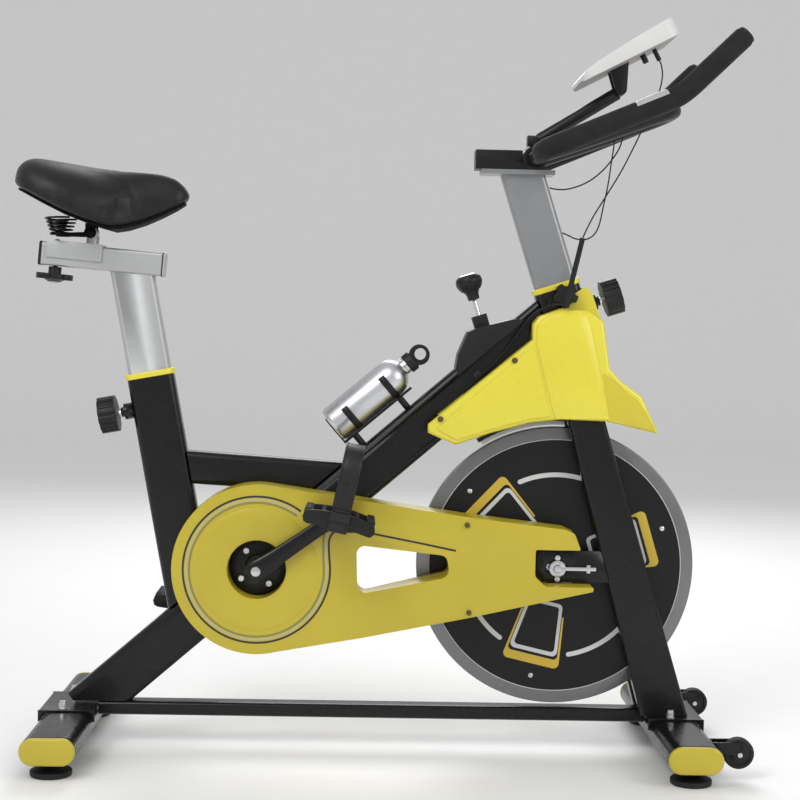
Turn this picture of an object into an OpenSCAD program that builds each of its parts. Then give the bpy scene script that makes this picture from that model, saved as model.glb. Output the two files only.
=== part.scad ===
// Indoor cycling bike with a chain-driven flywheel, friction brake, sliding saddle and bottle.
// Frame: +X forward, +Y to the rider's left, +Z up. The origin is on the floor, mid-length and
// mid-width. Every size is in millimetres.

/* [Frame tubes] */
// Depth of the main tubes in the side view
tube_d = 80; // [76:1:84]
// Width of the main tubes across the bike
tube_w = 40; // [38:1:42]
// Wall of the main tubes
tube_wall = 2; // [1.5:0.5:2.5]
// Corner radius of the main tubes
tube_r = 12; // [8:1:14]

/* [Base] */
// Width of each stabiliser with its end caps
base_w = 500; // [480:5:540]
// Length of a stabiliser's flat-oval section
oval_l = 90; // [84:1:96]
// Height of a stabiliser's flat-oval section
oval_h = 45; // [40:1:48]
// Radius of a transport wheel
wheel_r = 25.5; // [22:0.5:26]

/* [Flywheel] */
// Outer radius of the rim
rim_r = 241; // [230:1:242]
// Width of the rim
rim_w = 24; // [18:1:26]
// Radius of the black side discs
disc_r = 220; // [200:1:222]

/* [Drive] */
// Crank length between spindle and pedal axle
crank_l = 170; // [160:1:175]
// Teeth on the chainring
ring_teeth = 52; // [48:1:54]
// Teeth on the flywheel sprocket
sprocket_teeth = 16; // [14:1:18]
// Crank angle above the horizontal at rest
crank_angle = 35.3; // [0:0.1:60]

/* [Posts] */
// Depth of the sliding posts
post_d = 73; // [70:0.5:73.5]
// Width of the sliding posts
post_w = 33; // [31:0.5:33.5]

/* [Bottle] */
// Bottle radius
bottle_r = 32.5; // [30:0.5:33]

/* [Hidden] */
$fn = 64;

yellow = [0.93, 0.86, 0.22];
black = [0.06, 0.06, 0.07];
silver = [0.72, 0.73, 0.75];

// Main beam: its centre line rises through the bottom bracket to the head tube.
beam_lean = 48.85;
bb = [-203, 0, 321];
beam_back = [-503, 0, 60];
beam_l = 1120;
// Seat tube and post share one leaning axis.
seat_lean = -10.8;
seat_top = [-395, 0, 640];
seat_tube_l = 424;
// Head tube and handlebar post share one leaning axis.
head_lean = -18;
head_top = [302, 0, 805];
head_l = 224;
// Flywheel axle.
hub = [310, 0, 326.5];
plate_in = 42;
plate_t = 5;
leg_in = 20;
leg_w = 30;
// Chain line and chain cover across the bike.
chain_y = -31;
chain_h = 4;
cover_back_y = -24;
cover_split_y = -40;
cover_face_y = -86;
cover_t = 2.5;
lobe_r = 143.5;
pitch = 12.7;
ring_r = ring_teeth * pitch / 360 * 180 / PI;
sprocket_r = sprocket_teeth * pitch / 360 * 180 / PI;
// Bases.
rear_x = -522;
front_x = 518;
oval_z = 47.5;
cap_t = 12;
foot_y = 205;
wheel_x = 599.5;
wheel_z = 46;
wheel_y = 182;
// Cranks and pedals.
crank_y = 92;
crank_t = 15;
pedal_y0 = 116;
pedal_y1 = 205;
pedal_axle_r = 6;
// Brake push rod.
rod_top = [146, 0, 828];
rod_lean = -17.6;
rod_r = 4;
felt_r = 245;
// Saddle parts.
slider_back = [-582, 0, 848.6];
slider_lean = 94.4;
slider_l = 205;
// Handlebar parts.
bar_core_r = 12.5;
foam_r = 17.5;
bar_ref = [-0.6, 0, 0.8];
wire_ref = [0, 1, 0.2];
loop_r = 14;
// Bottle axis.
bottle_base = [-80, 0, 561];
bottle_lean = 49.3;
bottle_l = 213;
// Pop pins: height on each tube and the reach of each boss from the tube's axis.
seat_pin_z = -52;
bar_pin_z = -40;
seat_boss = 55;
bar_boss = 60;
// Running clearance of a shaft in its bore.
run = 0.05;

// ---- Shared shapes ----

// Rounded rectangle, centred.
module rrect(w, h, r) {
  square([w - 2 * r, h], center = true);
  square([w, h - 2 * r], center = true);
  for (x = [-1, 1], y = [-1, 1])
    translate([x * (w / 2 - r), y * (h / 2 - r)]) circle(r);
}

// A shape drawn in X and Z, given thickness from y0 to y1.
module slab(y0, y1) translate([0, y1, 0]) rotate([90, 0, 0]) linear_extrude(y1 - y0) children();

// Children stand on point p with their +Z leaning towards +X.
module along(p, lean) translate(p) rotate([0, lean, 0]) children();

// Round bar across the bike.
module rod_y(x, z, y0, y1, r) translate([x, y1, z]) rotate([90, 0, 0]) cylinder(h = y1 - y0, r = r);

// Hollow rounded tube.
module tube(l, d, w, r, wall) {
  linear_extrude(l) difference() {
    rrect(d, w, r);
    rrect(d - 2 * wall, w - 2 * wall, r - wall);
  }
}

// Solid rounded bar.
module bar(l, d, w, r) linear_extrude(l) rrect(d, w, r);

function unit(v) = v / norm(v);
function tangent(p, i) = unit(p[min(i + 1, len(p) - 1)] - p[max(i - 1, 0)]);
function ring(c, t, r, n, ref) =
  let (a = unit(cross(ref, t)), b = cross(t, a))
  [for (j = [0:n - 1]) c + r * (cos(360 * j / n) * a + sin(360 * j / n) * b)];
// Smooth curve through hand-set points: k steps between each pair.
function spline_at(a, b, c, d, t) =
  0.5 * (2 * b + (c - a) * t + (2 * a - 5 * b + 4 * c - d) * t * t
    + (3 * b - a - 3 * c + d) * t * t * t);
function smooth(p, k) = concat(
  [for (i = [0:len(p) - 2], s = [0:k - 1])
    spline_at(p[max(i - 1, 0)], p[i], p[i + 1], p[min(i + 2, len(p) - 1)], s / k)],
  [p[len(p) - 1]]);

// Round tube swept along points; ref is a direction the route never takes.
module sweep(p, r, n, ref) {
  m = len(p);
  pts = [for (i = [0:m - 1]) each ring(p[i], tangent(p, i), r, n, ref)];
  sides = [for (i = [0:m - 2], j = [0:n - 1])
    let (a = i * n + j, b = i * n + (j + 1) % n) each [[a, a + n, b], [b, a + n, b + n]]];
  first = [[for (j = [0:n - 1]) j]];
  last = [[for (j = [n - 1:-1:0]) (m - 1) * n + j]];
  polyhedron(points = pts, faces = concat(first, last, sides));
}

// Fluted hand knob on +Z.
module fluted_knob(r, t) {
  difference() {
    cylinder(h = t, r = r);
    for (i = [0:11])
      rotate([0, 0, i * 30]) translate([r + 2.5, 0, -1]) cylinder(h = t + 2, r = 4.5, $fn = 24);
  }
}

// Five-lobed star knob on +Z.
module star_knob(r, t) {
  difference() {
    cylinder(h = t, r = r);
    for (i = [0:4])
      rotate([0, 0, i * 72]) translate([r + 3, 0, -1]) cylinder(h = t + 2, r = r * 0.38, $fn = 24);
  }
}

// ---- Frame ----

module head_space() along(head_top, head_lean)
  translate([0, 0, -head_l - 5]) bar(head_l + 30, tube_d, tube_w + 20, tube_r);

// Straight tube from the rear base plate to the head tube, cut level at the back.
module main_beam() color(black) difference() {
  along(beam_back, beam_lean) tube(beam_l, tube_d, tube_w, tube_r, tube_wall);
  translate([-700, -50, -40]) cube([700, 100, 118.4]);
  head_space();
  along(rod_top, rod_lean) translate([0, 0, -400]) cylinder(h = 400, r = 7.5);
  rod_y(bb[0], bb[2], -30, 30, 21);
  translate([300, -60, 700]) cube([200, 120, 200]);
}

// Hollow tube that the saddle post slides in, with the pop pin's boss behind.
module seat_tube() color(black) difference() {
  union() {
    along(seat_top, seat_lean) translate([0, 0, -seat_tube_l])
      tube(seat_tube_l, tube_d, tube_w, tube_r, tube_wall);
    along(seat_top, seat_lean) translate([-seat_boss, 0, seat_pin_z])
      rotate([0, 90, 0]) cylinder(h = seat_boss - tube_d / 2 + 1.5, r = 14);
  }
  along(beam_back, beam_lean) translate([-tube_d / 2, -30, 0]) cube([200, 60, beam_l]);
  along(seat_top, seat_lean) translate([-seat_boss - 5, 0, seat_pin_z])
    rotate([0, 90, 0]) cylinder(h = 30, r = 6);
}

// Short horizontal tube from the seat tube to the beam.
module top_tube() color(black) difference() {
  along([-360, 0, 488], 93.3) tube(330, 57, tube_w - 1, tube_r, tube_wall);
  along(beam_back, beam_lean) translate([-tube_d / 2, -30, 0]) cube([200, 60, beam_l]);
  along(seat_top, seat_lean) translate([-100 + tube_d / 2, -30, -seat_tube_l]) cube([100, 60, seat_tube_l]);
}

// Head tube with the pop pin's boss in front and the side knob's boss.
module head_tube() color(black) difference() {
  union() {
    along(head_top, head_lean) translate([0, 0, -head_l]) tube(head_l, tube_d, tube_w, tube_r, tube_wall);
    along(head_top, head_lean) translate([tube_d / 2 - 1.5, 0, bar_pin_z])
      rotate([0, 90, 0]) cylinder(h = bar_boss - tube_d / 2 + 1.5, r = 14);
    along(head_top, head_lean) translate([8, -tube_w / 2 + 1.5, -14])
      rotate([90, 0, 0]) cylinder(h = 9, r = 10);
  }
  along(head_top, head_lean) translate([tube_d / 2 - 12, 0, bar_pin_z])
    rotate([0, 90, 0]) cylinder(h = 40, r = 6);
  along(head_top, head_lean) translate([8, -tube_w / 2 + 8, -14])
    rotate([90, 0, 0]) cylinder(h = 30, r = 4);
}

// One tapering leg between the head tube and the front base, thinner by inset on each side.
module fork_leg(y0, inset = 0) hull() {
  translate([338, y0 + leg_w / 2, 636]) linear_extrude(1)
    rrect(62 - 2 * inset, leg_w - 2 * inset, 7 - inset, $fn = 32);
  translate([502, y0 + leg_w / 2, 73.4]) linear_extrude(1)
    rrect(82 - 2 * inset, leg_w - 2 * inset, 7 - inset, $fn = 32);
}

// Two hollow legs beside the flywheel.
module fork_legs() color(black) for (y0 = [-leg_in - leg_w, leg_in]) difference() {
  fork_leg(y0);
  fork_leg(y0, 2);
}

// Flat rail between the two bases.
module bottom_rail() color(black) translate([front_x - 46, 0, 66]) rotate([0, -90, 0])
  tube(front_x - rear_x - 92, 24, tube_w - 1, 7, tube_wall);

// Shell that holds the crank spindle's bearings.
module bottom_bracket() color(black) {
  bearing_ring(bb[0], bb[2], -22, 22, 21, 17.5);
  for (y0 = [-21, 12]) bearing_ring(bb[0], bb[2], y0, y0 + 9, 17.4, 8.5 + run);
}

// Plates that carry the flywheel's axle, with slots for chain adjustment.
module axle_plates() color(black) for (s = [-1, 1]) {
  y0 = s < 0 ? -plate_in - plate_t : plate_in;
  difference() {
    slab(y0, y0 + plate_t) difference() {
      polygon([[273, 357], [273, 316], [285, 303], [404, 303], [404, 357]]);
      translate([298, hub[2] - 8.2]) square([24, 16.4]);
      translate([298, hub[2]]) circle(8.2);
      translate([322, hub[2]]) circle(8.2);
    }
    fork_leg(s < 0 ? -leg_in - leg_w : leg_in);
  }
}

module oval(l, h) {
  square([l - h, h], center = true);
  for (s = [-1, 1]) translate([s * (l - h) / 2, 0]) circle(h / 2);
}

// Flat-oval cross tubes under both ends of the frame.
module stabilisers() color(black) for (x = [rear_x, front_x]) {
  slab(-base_w / 2 + cap_t, base_w / 2 - cap_t) translate([x, oval_z]) difference() {
    oval(oval_l, oval_h);
    oval(oval_l - 5, oval_h - 5);
  }
}

module stabiliser_caps() color(yellow) for (x = [rear_x, front_x], s = [-1, 1]) {
  y0 = s < 0 ? -base_w / 2 : base_w / 2 - cap_t;
  slab(y0, y0 + cap_t) translate([x, oval_z]) oval(oval_l, oval_h);
}

// Saddle plates that hug the base tubes under the frame, and forks for the transport wheels.
module stabiliser_brackets() color(black) {
  for (x = [rear_x, front_x]) {
    translate([x - 46, -70, 70.2]) cube([92, 140, 2.8]);
    for (s = [-1, 1]) slab(s * 70 - 1.5, s * 70 + 1.5) difference() {
      translate([x - 48, 54]) square([96, 19]);
      translate([x, oval_z]) oval(oval_l + 0.6, oval_h + 0.6);
    }
  }
  for (s = [-1, 1], e = [-1, 1]) {
    y0 = s * wheel_y + e * 13 - 1.5;
    slab(y0, y0 + 3) difference() {
      union() {
        translate([552, 46]) square([47, 20]);
        translate([wheel_x, wheel_z]) circle(11);
      }
      translate([front_x, oval_z]) oval(oval_l + 0.6, oval_h + 0.6);
      translate([wheel_x, wheel_z]) circle(4.05);
    }
  }
}

// Round levelling feet on threaded stems.
module levelling_feet() color(black) for (x = [rear_x, front_x], s = [-1, 1])
  translate([x, s * foot_y, 0]) {
    cylinder(h = 9, r = 34);
    translate([0, 0, 8.9]) cylinder(h = 8, r1 = 30, r2 = 14);
    translate([0, 0, 12]) cylinder(h = 13, r = 7);
  }

// Domed nuts on the base plates, cover screws, cage bolts and chain tensioners.
module frame_bolts() color(silver) {
  for (x = [rear_x - 8, front_x - 8], s = [-1, 1]) translate([x, s * 59, 73]) {
    cylinder(h = 2, r = 8);
    translate([0, 0, 2]) cylinder(h = 7, r = 7, $fn = 6);
    translate([0, 0, 9]) cylinder(h = 5, r = 5.5);
  }
  for (p = [[151, 403], [157, 254]]) rod_y(p[0], p[1], cover_face_y - 3, cover_face_y, 4.5);
  for (p = [[103, 580], [227, 682]], s = [-1, 1])
    rod_y(p[0], p[1], s > 0 ? 61 : -64, s > 0 ? 64 : -61, 5);
  for (s = [-1, 1]) chain_tensioner(s);
  for (s = [-1, 1]) rod_y(wheel_x, wheel_z, s * wheel_y - 17, s * wheel_y + 17, 4);
}

// Eye bolt around the axle's end, with its adjusting nut and two plate bolts.
module chain_tensioner(s) {
  y0 = s < 0 ? -plate_in - plate_t - 7 : plate_in + plate_t;
  slab(y0, y0 + 7) difference() {
    union() {
      translate([hub[0], hub[2]]) circle(14);
      translate([hub[0] + 10, hub[2] - 3]) square([56, 6]);
      translate([hub[0] + 50, hub[2] - 7]) square([6, 14]);
    }
    translate([hub[0], hub[2]]) circle(6.5);
  }
  for (e = [-1, 1])
    rod_y(hub[0], hub[2] + e * 18.5, s < 0 ? y0 + 2 : y0, s < 0 ? y0 + 7 : y0 + 5, 4.5);
}

module bearing_ring(x, z, y0, y1, ro, ri) difference() {
  rod_y(x, z, y0, y1, ro);
  rod_y(x, z, y0 - 1, y1 + 1, ri);
}

module collar(top, lean) along(top, lean) difference() {
  bar(10, tube_d + 5, tube_w + 5, tube_r + 2);
  translate([0, 0, -1]) bar(12, post_d + 0.8, post_w + 0.8, 9.4);
}

// Plastic collars that guide the two posts.
module post_collars() color(yellow) {
  collar(seat_top, seat_lean);
  collar(head_top, head_lean);
}

// Side outline of the chain cover, with its window; the mouth is open around the axle plate.
module cover_outline(mouth) difference() {
  polygon(concat(
    [for (a = [80:5:285]) [bb[0], bb[2]] + lobe_r * [cos(a), sin(a)]],
    [[-23, 208], [157, 245], [368, 293], [368, 362], [345, 362], [334, 391], [318, 398], [154, 416]]));
  hull() {
    translate([-21, 352]) circle(14, $fn = 24);
    translate([-18, 297]) circle(15, $fn = 24);
    translate([104, 336]) circle(14, $fn = 24);
    translate([108, 330]) circle(16, $fn = 24);
  }
  if (mouth) hull() {
    translate([285, 317]) circle(17, $fn = 24);
    translate([270, 340]) square([10, 24]);
    translate([400, 300]) square([10, 64]);
  }
}

// Outer half of the chain cover, open behind and around the crank hub.
module chain_cover() color(yellow) difference() {
  slab(cover_face_y, cover_split_y) cover_outline(true);
  slab(cover_face_y + cover_t, cover_split_y + 1) offset(delta = -cover_t) cover_outline(true);
  rod_y(bb[0], bb[2], cover_face_y - 1, cover_split_y, 49.5);
}

// Inner half of the chain cover, between the chain and the frame.
module chain_cover_back() color(yellow) difference() {
  slab(cover_split_y, cover_back_y + cover_t) cover_outline(false);
  slab(cover_split_y - 1, cover_back_y) offset(delta = -cover_t) cover_outline(false);
  rod_y(bb[0], bb[2], cover_split_y, cover_back_y + 5, 24);
  rod_y(hub[0], hub[2], cover_split_y, cover_back_y + 5, 27);
  slab(cover_back_y - 20, cover_back_y + 5) translate([340, 270]) square([40, 100]);
}

// Side outline of the front shroud.
module shroud_outline() polygon([
  [82, 571], [82, 556], [130, 536], [188, 557], [255, 576], [309, 583], [387, 581],
  [420, 574], [477, 561], [446, 625], [408, 652], [390, 672], [378, 752], [352, 769],
  [304, 772], [268, 758], [257, 744], [257, 718]]);

// Narrow upper lobe that wraps the front of the head tube.
module lobe_outline() polygon([
  [306, 770], [322, 787], [333, 800], [348, 810], [360, 802], [369, 776], [378, 750.5], [352, 766]]);

// Thin shell over the fork crown and the beam's front end, open below, above and behind.
module front_shroud() color(yellow) difference() {
  union() {
    difference() {
      slab(-61, 61) shroud_outline();
      slab(-58.5, 58.5) offset(delta = -2.5) shroud_outline();
    }
    difference() {
      slab(-27, 27) lobe_outline();
      slab(-24.4, 24.4) offset(delta = -2.5) lobe_outline();
    }
  }
  slab(-52.5, 52.5) translate([60, 500]) square([335, 86]);
  translate([60, -43, 500]) cube([330, 86, 78]);
  beam_gap();
  along(head_top, head_lean) translate([0, 0, -60]) bar(100, tube_d + 8, tube_w + 8, tube_r);
  along(head_top, head_lean) translate([tube_d / 2, 0, bar_pin_z]) rotate([0, 90, 0]) cylinder(h = 60, r = 17);
  for (y0 = [-leg_in - leg_w - 1, leg_in - 1]) shroud_leg_gap(y0);
  translate([270, -54, 560]) cube([170, 108, 22]);
  slab(-34, 34) offset(delta = 2) beam_cover_outline();
}

module beam_gap() along(beam_back, beam_lean)
  bar(beam_l, tube_d + 2, tube_w + 2, tube_r);

module shroud_leg_gap(y0) translate([300, y0, 560]) cube([110, leg_w + 2, 26]);

module beam_cover_outline() polygon([[129, 665], [133, 690], [149, 729], [165, 736], [230, 753],
  [247, 751], [264, 742], [150, 610]]);

// Black cover on the beam around the brake rod, with the rod's guide sleeve.
module beam_cover() color(black) difference() {
  union() {
    slab(-32, 32) beam_cover_outline();
    along(rod_top, rod_lean) translate([0, 0, -104]) cylinder(h = 30, r = 12);
  }
  slab(-29, 29) polygon([[132, 650], [136, 689], [151, 726], [166, 733], [230, 750], [246, 748], [262, 739],
    [150, 600]]);
  along(beam_back, beam_lean) bar(beam_l, tube_d + 1, tube_w + 1, tube_r);
  along(beam_back, beam_lean) translate([12 - tube_d / 2, -50, 0]) cube([tube_d + 60, 100, beam_l]);
  head_space();
  along(rod_top, rod_lean) translate([0, 0, -200]) cylinder(h = 240, r = rod_r + 0.4);
}

// Fixed axle with spacers and the two bearings in the flywheel's hub.
module flywheel_axle() color(silver) {
  for (y0 = [-25, 16]) bearing_ring(hub[0], hub[2], y0, y0 + 9, 15 - run, 6);
  rod_y(hub[0], hub[2], -58, 58, 6 - run / 5);
  bearing_ring(hub[0], hub[2], -plate_in, -34, 9, 6);
  bearing_ring(hub[0], hub[2], 28, plate_in, 9, 6);
}

// One loop of chain side plates around both sprockets.
module chain_loop(y0, t) {
  d = [hub[0] - bb[0], hub[2] - bb[2]];
  span = norm(d);
  wrap = acos((ring_r - sprocket_r) / span);
  slab(y0, y0 + t) translate([bb[0], bb[2]]) rotate(atan2(d[1], d[0])) difference() {
    polygon(belt(ring_r + chain_h, sprocket_r + chain_h, wrap, span));
    polygon(belt(ring_r - chain_h, sprocket_r - chain_h, wrap, span));
  }
}

// Outline of a belt around two wheels, leaving each at the angle wrap from the line of centres.
function belt(r0, r1, wrap, span) = concat(
  [for (i = [0:40]) r0 * [cos(wrap + i * (360 - 2 * wrap) / 40), sin(wrap + i * (360 - 2 * wrap) / 40)]],
  [for (i = [0:16]) [span, 0] + r1 * [cos(-wrap + i * wrap / 8), sin(-wrap + i * wrap / 8)]]);

module chain() color(silver) for (y0 = [-35, -28.6]) chain_loop(y0, 1.6);

// Cage with two wrapped arms, a base stop and a back strip bolted to the beam.
module bottle_cage() color(black) difference() {
  along(bottle_base, bottle_lean) difference() {
    union() {
      translate([bottle_r + 0.5, -9, -3]) cube([4, 18, 150]);
      translate([0, 0, -3]) cylinder(h = 2.7, r = 18);
      translate([0, -7, -3]) cube([bottle_r + 2, 14, 2.7]);
      cage_band(30);
      cage_band(112);
      for (z = [20, 120]) translate([bottle_r + 2, 0, z]) rotate([0, 90, 0]) cylinder(h = 30, r = 6);
    }
    cylinder(h = 300, r = bottle_r + 0.4);
  }
  along(beam_back, beam_lean) translate([-tube_d / 2, -30, 0]) cube([80, 60, beam_l]);
}

module cage_band(z0) translate([0, 0, z0]) difference() {
  cylinder(h = 12, r = bottle_r + 4);
  translate([-90, -60, -1]) cube([76, 120, 20]);
}

// Cable from a grommet on the beam up to a stiff sleeve beside the head tube.
cable_path = smooth([[174, -24, 656], [184, -24, 664], [198, -25, 679], [212, -26, 695],
  [224, -28, 712], [236, -31, 730], [248, -36, 747], [262, -44, 763], [278, -54, 773],
  [292, -63, 778], [303, -68.5, 778.5], [311, -70, 779]], 3);
module beam_cable() color(black) {
  rod_y(168, 655, -24, -20, 6);
  difference() {
    sweep(cable_path, 2.2, 8, [0.5, 0, -0.8]);
    rod_y(168, 655, -24, -20, 6);
    wire_sleeve();
  }
  wire_sleeve();
}

// Stiff sleeve that carries the signal cable up from the frame.
sleeve_foot = [310, -70, 774];
sleeve_lean = 12.5;
sleeve_l = 120;
module wire_sleeve() along(sleeve_foot, sleeve_lean) cylinder(h = sleeve_l, r = 4.5);

// ---- Flywheel ----

module flywheel() color(silver) difference() {
  union() {
    difference() {
      rod_y(hub[0], hub[2], -rim_w / 2, rim_w / 2, rim_r);
      rod_y(hub[0], hub[2], -rim_w / 2 - 1, rim_w / 2 + 1, 196);
    }
    rod_y(hub[0], hub[2], -3.5, 3.5, 197);
  }
  rod_y(hub[0], hub[2], -20, 20, 22);
}

module flywheel_discs() color(black) for (y0 = [-rim_w / 2 - 1, rim_w / 2])
  bearing_ring(hub[0], hub[2], y0, y0 + 1, disc_r, 22.5);

// Sprocket outline: round roller seats cut in a disc.
module sprocket_outline(teeth, r) difference() {
  circle(r + 3, $fn = 96);
  for (i = [0:teeth - 1]) rotate(i * 360 / teeth) translate([r, 0]) circle(4, $fn = 24);
}

// Hub in the flywheel's centre, with the drive sprocket on the chain side.
module flywheel_hub() color(silver) difference() {
  union() {
    rod_y(hub[0], hub[2], -26, 26, 22);
    rod_y(hub[0], hub[2], -33, -25, 18);
    slab(chain_y - 1.5, chain_y + 1.5) translate([hub[0], hub[2]])
      sprocket_outline(sprocket_teeth, sprocket_r);
  }
  rod_y(hub[0], hub[2], -25, 40, 15);
  rod_y(hub[0], hub[2], -40, 40, 10);
}

// ---- Cranks and pedals ----

module crank_spindle() color(silver) rod_y(bb[0], bb[2], -107, 107, 8.5);

module crank_arm(y0, angle) difference() {
  slab(y0, y0 + crank_t) translate([bb[0], bb[2]]) rotate(angle) {
    circle(18);
    translate([crank_l, 0]) circle(14.5);
    polygon([[0, -16], [crank_l, -12.5], [crank_l, 12.5], [0, 16]]);
  }
  rod_y(bb[0], bb[2], y0 - 1, y0 + crank_t + 1, 8.5);
}

function pedal_at(s) = [bb[0] + s * crank_l * cos(crank_angle), bb[2] + s * crank_l * sin(crank_angle)];

// Crank arms a half turn apart, with the pedal axles in their ends.
module cranks() color(black) {
  crank_arm(-crank_y - crank_t, crank_angle);
  crank_arm(crank_y, crank_angle + 180);
  rod_y(pedal_at(1)[0], pedal_at(1)[1], -200, -crank_y - crank_t + 0, pedal_axle_r);
  rod_y(pedal_at(-1)[0], pedal_at(-1)[1], crank_y + crank_t, 200, pedal_axle_r);
}

// Chainring with its carrier and four bolts.
module chainring() color(black) difference() {
  union() {
    slab(chain_y - 1.5, chain_y + 1.5) translate([bb[0], bb[2]]) sprocket_outline(ring_teeth, ring_r);
    rod_y(bb[0], bb[2], -50, chain_y, 24);
    rod_y(bb[0], bb[2], -50, -46, 47);
    for (i = [0:3]) carrier_bolt(i);
  }
  rod_y(bb[0], bb[2], -60, -20, 8.5);
}

module carrier_bolt(i) {
  a = crank_angle + i * 90;
  rod_y(bb[0] + 34 * cos(a), bb[2] + 34 * sin(a), -55, -49, 5.5);
}

pedal_tilt = -11;
pedal_half = 60;
// Pedal cage around its axle, with tread bars; s is -1 on the rider's right.
module pedal(s) {
  c = pedal_at(-s);
  y0 = s < 0 ? -pedal_y1 : pedal_y0;
  difference() {
    union() {
      rod_y(c[0], c[1], y0, y0 + 89, 13);
      for (y = [y0, y0 + 82])
        slab(y, y + 7) translate(c) rotate(pedal_tilt) rrect(2 * pedal_half, 26, 10);
      for (e = [-1, 1])
        slab(y0 + 1, y0 + 88) translate(c) rotate(pedal_tilt) translate([e * 51, 0]) rrect(16, 24, 5);
      for (e = [-1, 1])
        slab(y0 + 1, y0 + 88) translate(c) rotate(pedal_tilt) translate([e * 27, 0]) rrect(8, 20, 3);
      slab(y0 + 40, y0 + 48) translate(c) rotate(pedal_tilt) rrect(100, 14, 4);
    }
    rod_y(c[0], c[1], s < 0 ? y0 + 5 - run : y0 - 1, s < 0 ? y0 + 90 : y0 + 84 + run, pedal_axle_r + run);
  }
}
module right_pedal() color(black) pedal(-1);
module left_pedal() color(black) pedal(1);

// Strap that arches over the shoe and closes under the pedal.
module strap(s) difference() {
  c = pedal_at(-s);
  y_mid = s * (pedal_y0 + pedal_y1) / 2;
  translate([c[0], y_mid, c[1]]) rotate([0, -pedal_tilt, 0]) translate([-16, 0, 0])
    rotate([90, 0, 90]) linear_extrude(32) difference() {
      strap_arch(48.3);
      strap_arch(45.1);
    }
  rod_y(c[0], c[1], y_mid - 60, y_mid + 60, pedal_axle_r + 2.5);
}
module strap_arch(r) {
  translate([0, 78]) circle(r);
  translate([-r, -16.5 + 45.1 - r]) square([2 * r, 94.5 - 45.1 + r]);
}
module right_strap() color(black) strap(-1);
module left_strap() color(black) strap(1);

// ---- Brake ----

rod_depth = 270;
// Push rod from the knob down to the pad holder.
module brake_rod() color(silver) along(rod_top, rod_lean)
  translate([0, 0, -rod_depth + 4]) cylinder(h = rod_depth - 24, r = rod_r);

// Mushroom knob on the push rod.
module tension_knob() color(black) along(rod_top, rod_lean) difference() {
  rotate_extrude() polygon([[0, -46], [10, -46], [11, -36], [21, -20], [23, -12], [22, -5],
    [15, -1], [0, 0]]);
  translate([0, 0, -60]) cylinder(h = 40.2, r = rod_r + run);
}

module wedge(a0, a1, r) polygon([[0, 0], r * [cos(a0), sin(a0)],
  1.1 * r * [cos((a0 + a1) / 2), sin((a0 + a1) / 2)], r * [cos(a1), sin(a1)]]);

// Part of a ring around the flywheel's axle between two angles.
module rim_arc(y0, y1, r0, r1, a0, a1) slab(y0, y1) translate([hub[0], hub[2]]) intersection() {
  difference() {
    circle(r1, $fn = 120);
    circle(r0, $fn = 120);
  }
  wedge(a0, a1, 330);
}

// Curved holder over the rim, joined to the push rod.
module brake_pad() color(black) difference() {
  union() {
    rim_arc(-16, 16, felt_r + 7, felt_r + 12, 87, 123);
    along(rod_top, rod_lean) translate([0, 0, -rod_depth - 2]) cylinder(h = 22, r = 9);
  }
  rod_y(hub[0], hub[2], -30, 30, felt_r + 7);
  along(rod_top, rod_lean) translate([0, 0, -rod_depth + 4]) cylinder(h = 60, r = rod_r);
}

module brake_felt() color([0.7, 0.7, 0.68]) rim_arc(-14, 14, felt_r, felt_r + 7, 88, 122);

// ---- Saddle ----

module slider_solid() along(slider_back, slider_lean) translate([0, 0, -20]) bar(slider_l + 60, 40, 40, 5);

module seat_post() color(silver) difference() {
  along(seat_top, seat_lean) translate([0, 0, -200]) tube(400, post_d, post_w, 9, 2);
  slider_solid();
  along(slider_back, slider_lean) translate([-160, -40, -50]) cube([160, 80, 400]);
}

// Tube that carries the saddle, slotted below and above for the clamp screw.
module slider_tube() color(silver) difference() {
  along(slider_back, slider_lean) tube(slider_l, 40, 40, 5, 2);
  along(slider_back, slider_lean) translate([-30, -6.5, 10]) cube([60, 13, 92]);
}

module slider_caps() color(black) for (z = [-5, slider_l])
  along(slider_back, slider_lean) translate([0, 0, z]) bar(5, 41, 41, 5.5);

screw_at = 22;
pin_at = 82;
tilt_z = 885;
// Saddle carriage: a channel over the slider tube with the upright saddle pin.
module carriage() color(silver) difference() {
  union() {
    along(slider_back, slider_lean) {
      translate([-23.5, -23.5, 8]) cube([29.5, 47, 95]);
      translate([-23, 0, pin_at]) rotate([0, -90, 0]) cylinder(h = 14, r = 11);
    }
    rod_y(-500, tilt_z, -14, 14, 11);
  }
  along(slider_back, slider_lean) {
    translate([-20.4, -20.4, 0]) cube([60, 40.8, 120]);
    translate([-30, 0, screw_at]) rotate([0, 90, 0]) cylinder(h = 30, r = 4 + run);
  }
  rod_y(-500, tilt_z, -20, 20, 4 + run);
}

// Star knob under the slider tube, with its screw up to the carriage.
module slider_knob() color(black) along(slider_back, slider_lean) translate([0, 0, screw_at])
  rotate([0, 90, 0]) {
    translate([0, 0, -26]) cylinder(h = 50, r = 4);
    translate([0, 0, 21.4]) cylinder(h = 13, r = 11);
    translate([0, 0, 33]) star_knob(31.5, 10);
    translate([0, 0, 42.9]) cylinder(h = 4, r1 = 18, r2 = 11);
  }

// Saddle stations from tail to nose: [x, top z, bottom z, half width].
stations = [
  [-625, 984, 963, 42], [-612, 1000, 955, 78], [-594, 1007, 946, 95], [-565, 1003, 931, 104],
  [-530, 996, 914, 104], [-495, 990, 901, 92], [-465, 987, 893, 70], [-440, 986, 896, 52],
  [-410, 987, 905, 40], [-380, 987, 918, 33], [-355, 981, 931, 28], [-340, 969, 940, 20],
  [-333, 957, 948, 9]];

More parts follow.
